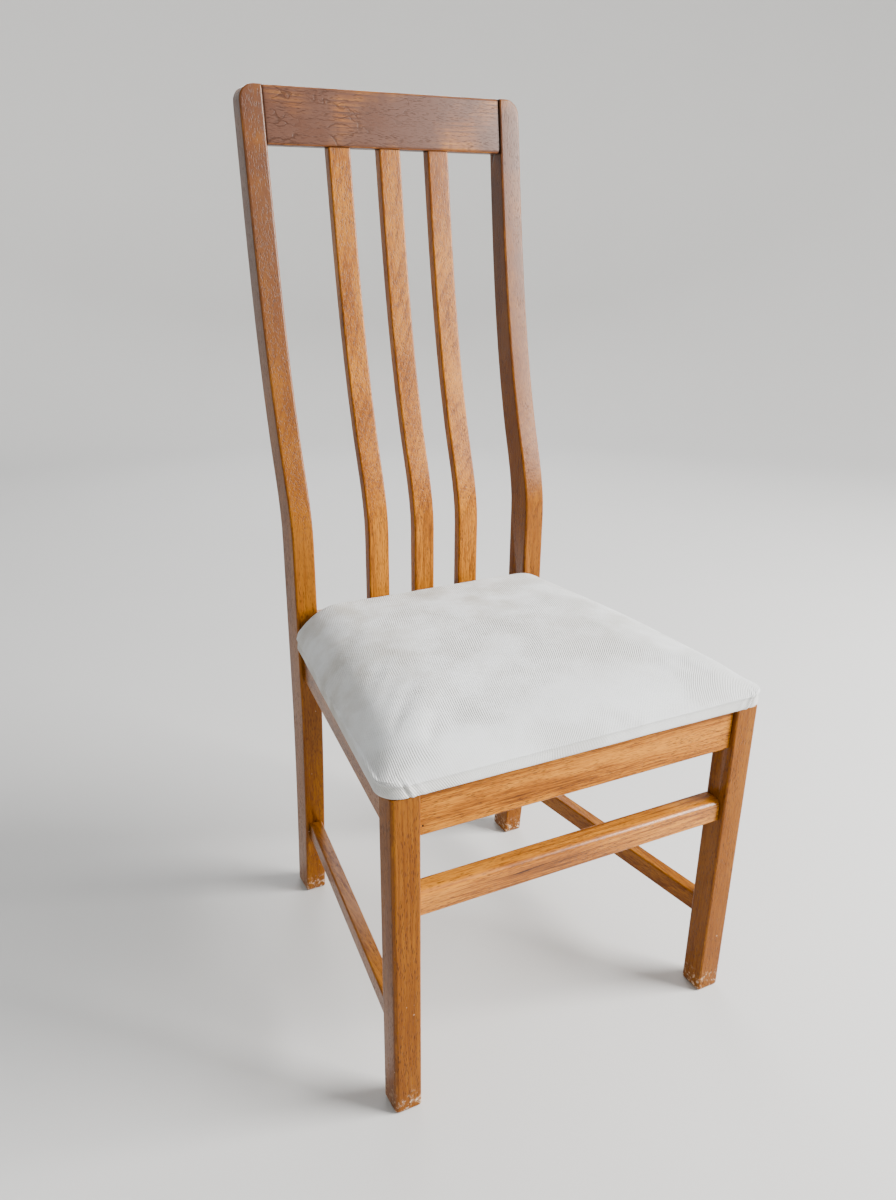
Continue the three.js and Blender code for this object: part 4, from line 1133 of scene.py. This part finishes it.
class CHAIR_OT_fixings(bpy.types.Operator):
    """Finish the seat board, the corner blocks, the dowels and the screws"""

    bl_idname = "chair.fixings"
    bl_label = "Board, blocks and fixings"

    def execute(self, context):
        beech = bare_wood("Block beech", "X", (0.58, 0.39, 0.22), (0.40, 0.24, 0.12))
        zinc = zinc_plate("Zinc plate")
        dress("seat_board", plywood("Board plywood"), edge=0.8 * MM)
        for side in SIDES:
            dress(f"crest_dowel_lower_{side}", beech, edge=0.6 * MM)
            dress(f"crest_dowel_upper_{side}", beech, edge=0.6 * MM)
            for end in ENDS:
                dress(f"corner_block_{end}_{side}", beech, edge=0.5 * MM)
                for use in ("block_screw_rail", "block_screw_side", "seat_screw"):
                    dress(f"{use}_{end}_{side}", zinc, edge=0.3 * MM)
        return {"FINISHED"}


# ---- Stage --------------------------------------------------------------------------------------


def add_light(name, place, target, size, power, colour):
    data = bpy.data.lights.new(name, "AREA")
    data.shape = "RECTANGLE"
    data.size, data.size_y = size
    data.energy = power
    data.color = colour
    obj = bpy.data.objects.new(name, data)
    obj.visible_camera = False
    obj.location = place
    obj.rotation_euler = (Vector(target) - Vector(place)).to_track_quat("-Z", "Y").to_euler()
    bpy.context.scene.collection.objects.link(obj)
    return obj


class CHAIR_OT_stage(bpy.types.Operator):
    """Make the pale floor that sweeps up into a wall, the lights and the camera"""

    bl_idname = "chair.stage"
    bl_label = "Stage"

    # The camera from the middle of the front legs' front faces at floor level
    CAMERA_PLACE = Vector((-0.5395, -0.6996, 0.8963))
    CAMERA_TURN = math.radians(-25.78)
    CAMERA_PITCH = math.radians(22.78)
    CAMERA_ROLL = math.radians(-0.222)
    CAMERA_SHIFT = (0.0251, 0.0319)

    def execute(self, context):
        stage = context.scene.chair_stage
        self.add_floor(stage)
        self.add_lights(stage)
        self.add_camera(stage)
        return {"FINISHED"}

    def add_floor(self, stage):
        sweep, wall, turns = 1.3, 6.0, 96
        profile = [(0.25, 0.0), (0.5 * stage.floor_radius, 0.0), (stage.floor_radius, 0.0)]
        for k in range(1, 13):
            angle = (k / 12) * math.pi / 2
            out = stage.floor_radius + sweep * math.sin(angle)
            profile.append((out, sweep * (1 - math.cos(angle))))
        profile.append((stage.floor_radius + sweep, wall))
        points = [(0.0, 0.0, 0.0)]
        for r, z in profile:
            for k in range(turns):
                angle = (k / turns) * 2 * math.pi
                points.append((r * math.cos(angle), r * math.sin(angle), z))
        faces = [(0, 1 + k, 1 + (k + 1) % turns) for k in range(turns)]
        for ring in range(len(profile) - 1):
            low, high = 1 + ring * turns, 1 + (ring + 1) * turns
            for k in range(turns):
                after = (k + 1) % turns
                faces.append((low + k, high + k, high + after, low + after))
        mesh = bpy.data.meshes.new("studio_floor")
        mesh.from_pydata(points, [], faces)
        mesh.shade_smooth()
        mesh.materials.append(studio_paint("Studio paint"))
        floor = bpy.data.objects.new("studio_floor", mesh)
        bpy.context.scene.collection.objects.link(floor)

    def add_lights(self, stage):
        seat = (0.0, 0.0, 0.5)
        power = stage.window_power
        add_light("window", (2.7, -1.9, 1.9), seat, (1.9, 1.8), power, (1.0, 0.98, 0.95))
        add_light("overhead", (0.4, -0.3, 3.0), seat, (2.6, 2.6), stage.overhead_power, (0.96, 0.98, 1.0))
        add_light("back", (1.3, 3.2, 2.3), seat, (1.8, 1.6), 0.13 * power, (0.97, 0.98, 1.0))
        world = bpy.data.worlds.new("Room")
        world.use_nodes = True
        sky = world.node_tree.nodes["Background"].inputs
        sky["Color"].default_value = (0.90, 0.94, 1.0, 1.0)
        sky["Strength"].default_value = stage.sky
        bpy.context.scene.world = world

    def add_camera(self, stage):
        data = bpy.data.cameras.new("Camera")
        data.lens = stage.focal_length
        data.sensor_width = 36
        data.sensor_fit = "AUTO"
        data.shift_x, data.shift_y = self.CAMERA_SHIFT
        turn, pitch, roll = self.CAMERA_TURN, self.CAMERA_PITCH, self.CAMERA_ROLL
        ahead = Vector((
            -math.sin(turn) * math.cos(pitch),
            math.cos(turn) * math.cos(pitch),
            -math.sin(pitch),
        ))
        across = Vector((math.cos(turn), math.sin(turn), 0.0))
        above = across.cross(ahead)
        right = math.cos(roll) * across + math.sin(roll) * above
        up = -math.sin(roll) * across + math.cos(roll) * above
        camera = bpy.data.objects.new("Camera", data)
        camera.matrix_world = Matrix((
            (right.x, up.x, -ahead.x, self.CAMERA_PLACE.x),
            (right.y, up.y, -ahead.y, self.CAMERA_PLACE.y + FRONT_FACE),
            (right.z, up.z, -ahead.z, self.CAMERA_PLACE.z),
            (0.0, 0.0, 0.0, 1.0),
        ))
        bpy.context.scene.collection.objects.link(camera)
        bpy.context.scene.camera = camera


# ---- Add-on ---------------------------------------------------------------------------------------


class CHAIR_PT_sidebar(bpy.types.Panel):
    """Lists the chair's settings and the steps that make it"""

    bl_label = "Dining chair"
    bl_idname = "CHAIR_PT_sidebar"
    bl_space_type = "VIEW_3D"
    bl_region_type = "UI"
    bl_category = "Chair"

    def draw(self, context):
        layout = self.layout
        for attribute in SETTINGS:
            box = layout.box()
            settings = getattr(context.scene, attribute)
            for name in settings.__annotations__:
                box.prop(settings, name)
        for operator in OPERATORS:
            layout.operator(operator.bl_idname)


OPERATORS = (
    CHAIR_OT_front_legs,
    CHAIR_OT_back,
    CHAIR_OT_rails,
    CHAIR_OT_fixings,
    CHAIR_OT_seat_pad,
    CHAIR_OT_stage,
)


def register():
    for cls in (*SETTINGS.values(), *OPERATORS, CHAIR_PT_sidebar):
        bpy.utils.register_class(cls)
    for attribute, cls in SETTINGS.items():
        setattr(bpy.types.Scene, attribute, bpy.props.PointerProperty(type=cls))


def unregister():
    for attribute in SETTINGS:
        delattr(bpy.types.Scene, attribute)
    for cls in reversed((*SETTINGS.values(), *OPERATORS, CHAIR_PT_sidebar)):
        bpy.utils.unregister_class(cls)


def main():
    register()
    bpy.ops.chair.front_legs()
    bpy.ops.chair.back()
    bpy.ops.chair.rails()
    bpy.ops.chair.fixings()
    bpy.ops.chair.seat_pad()
    bpy.ops.chair.stage()


if __name__ == "__main__":
    main()
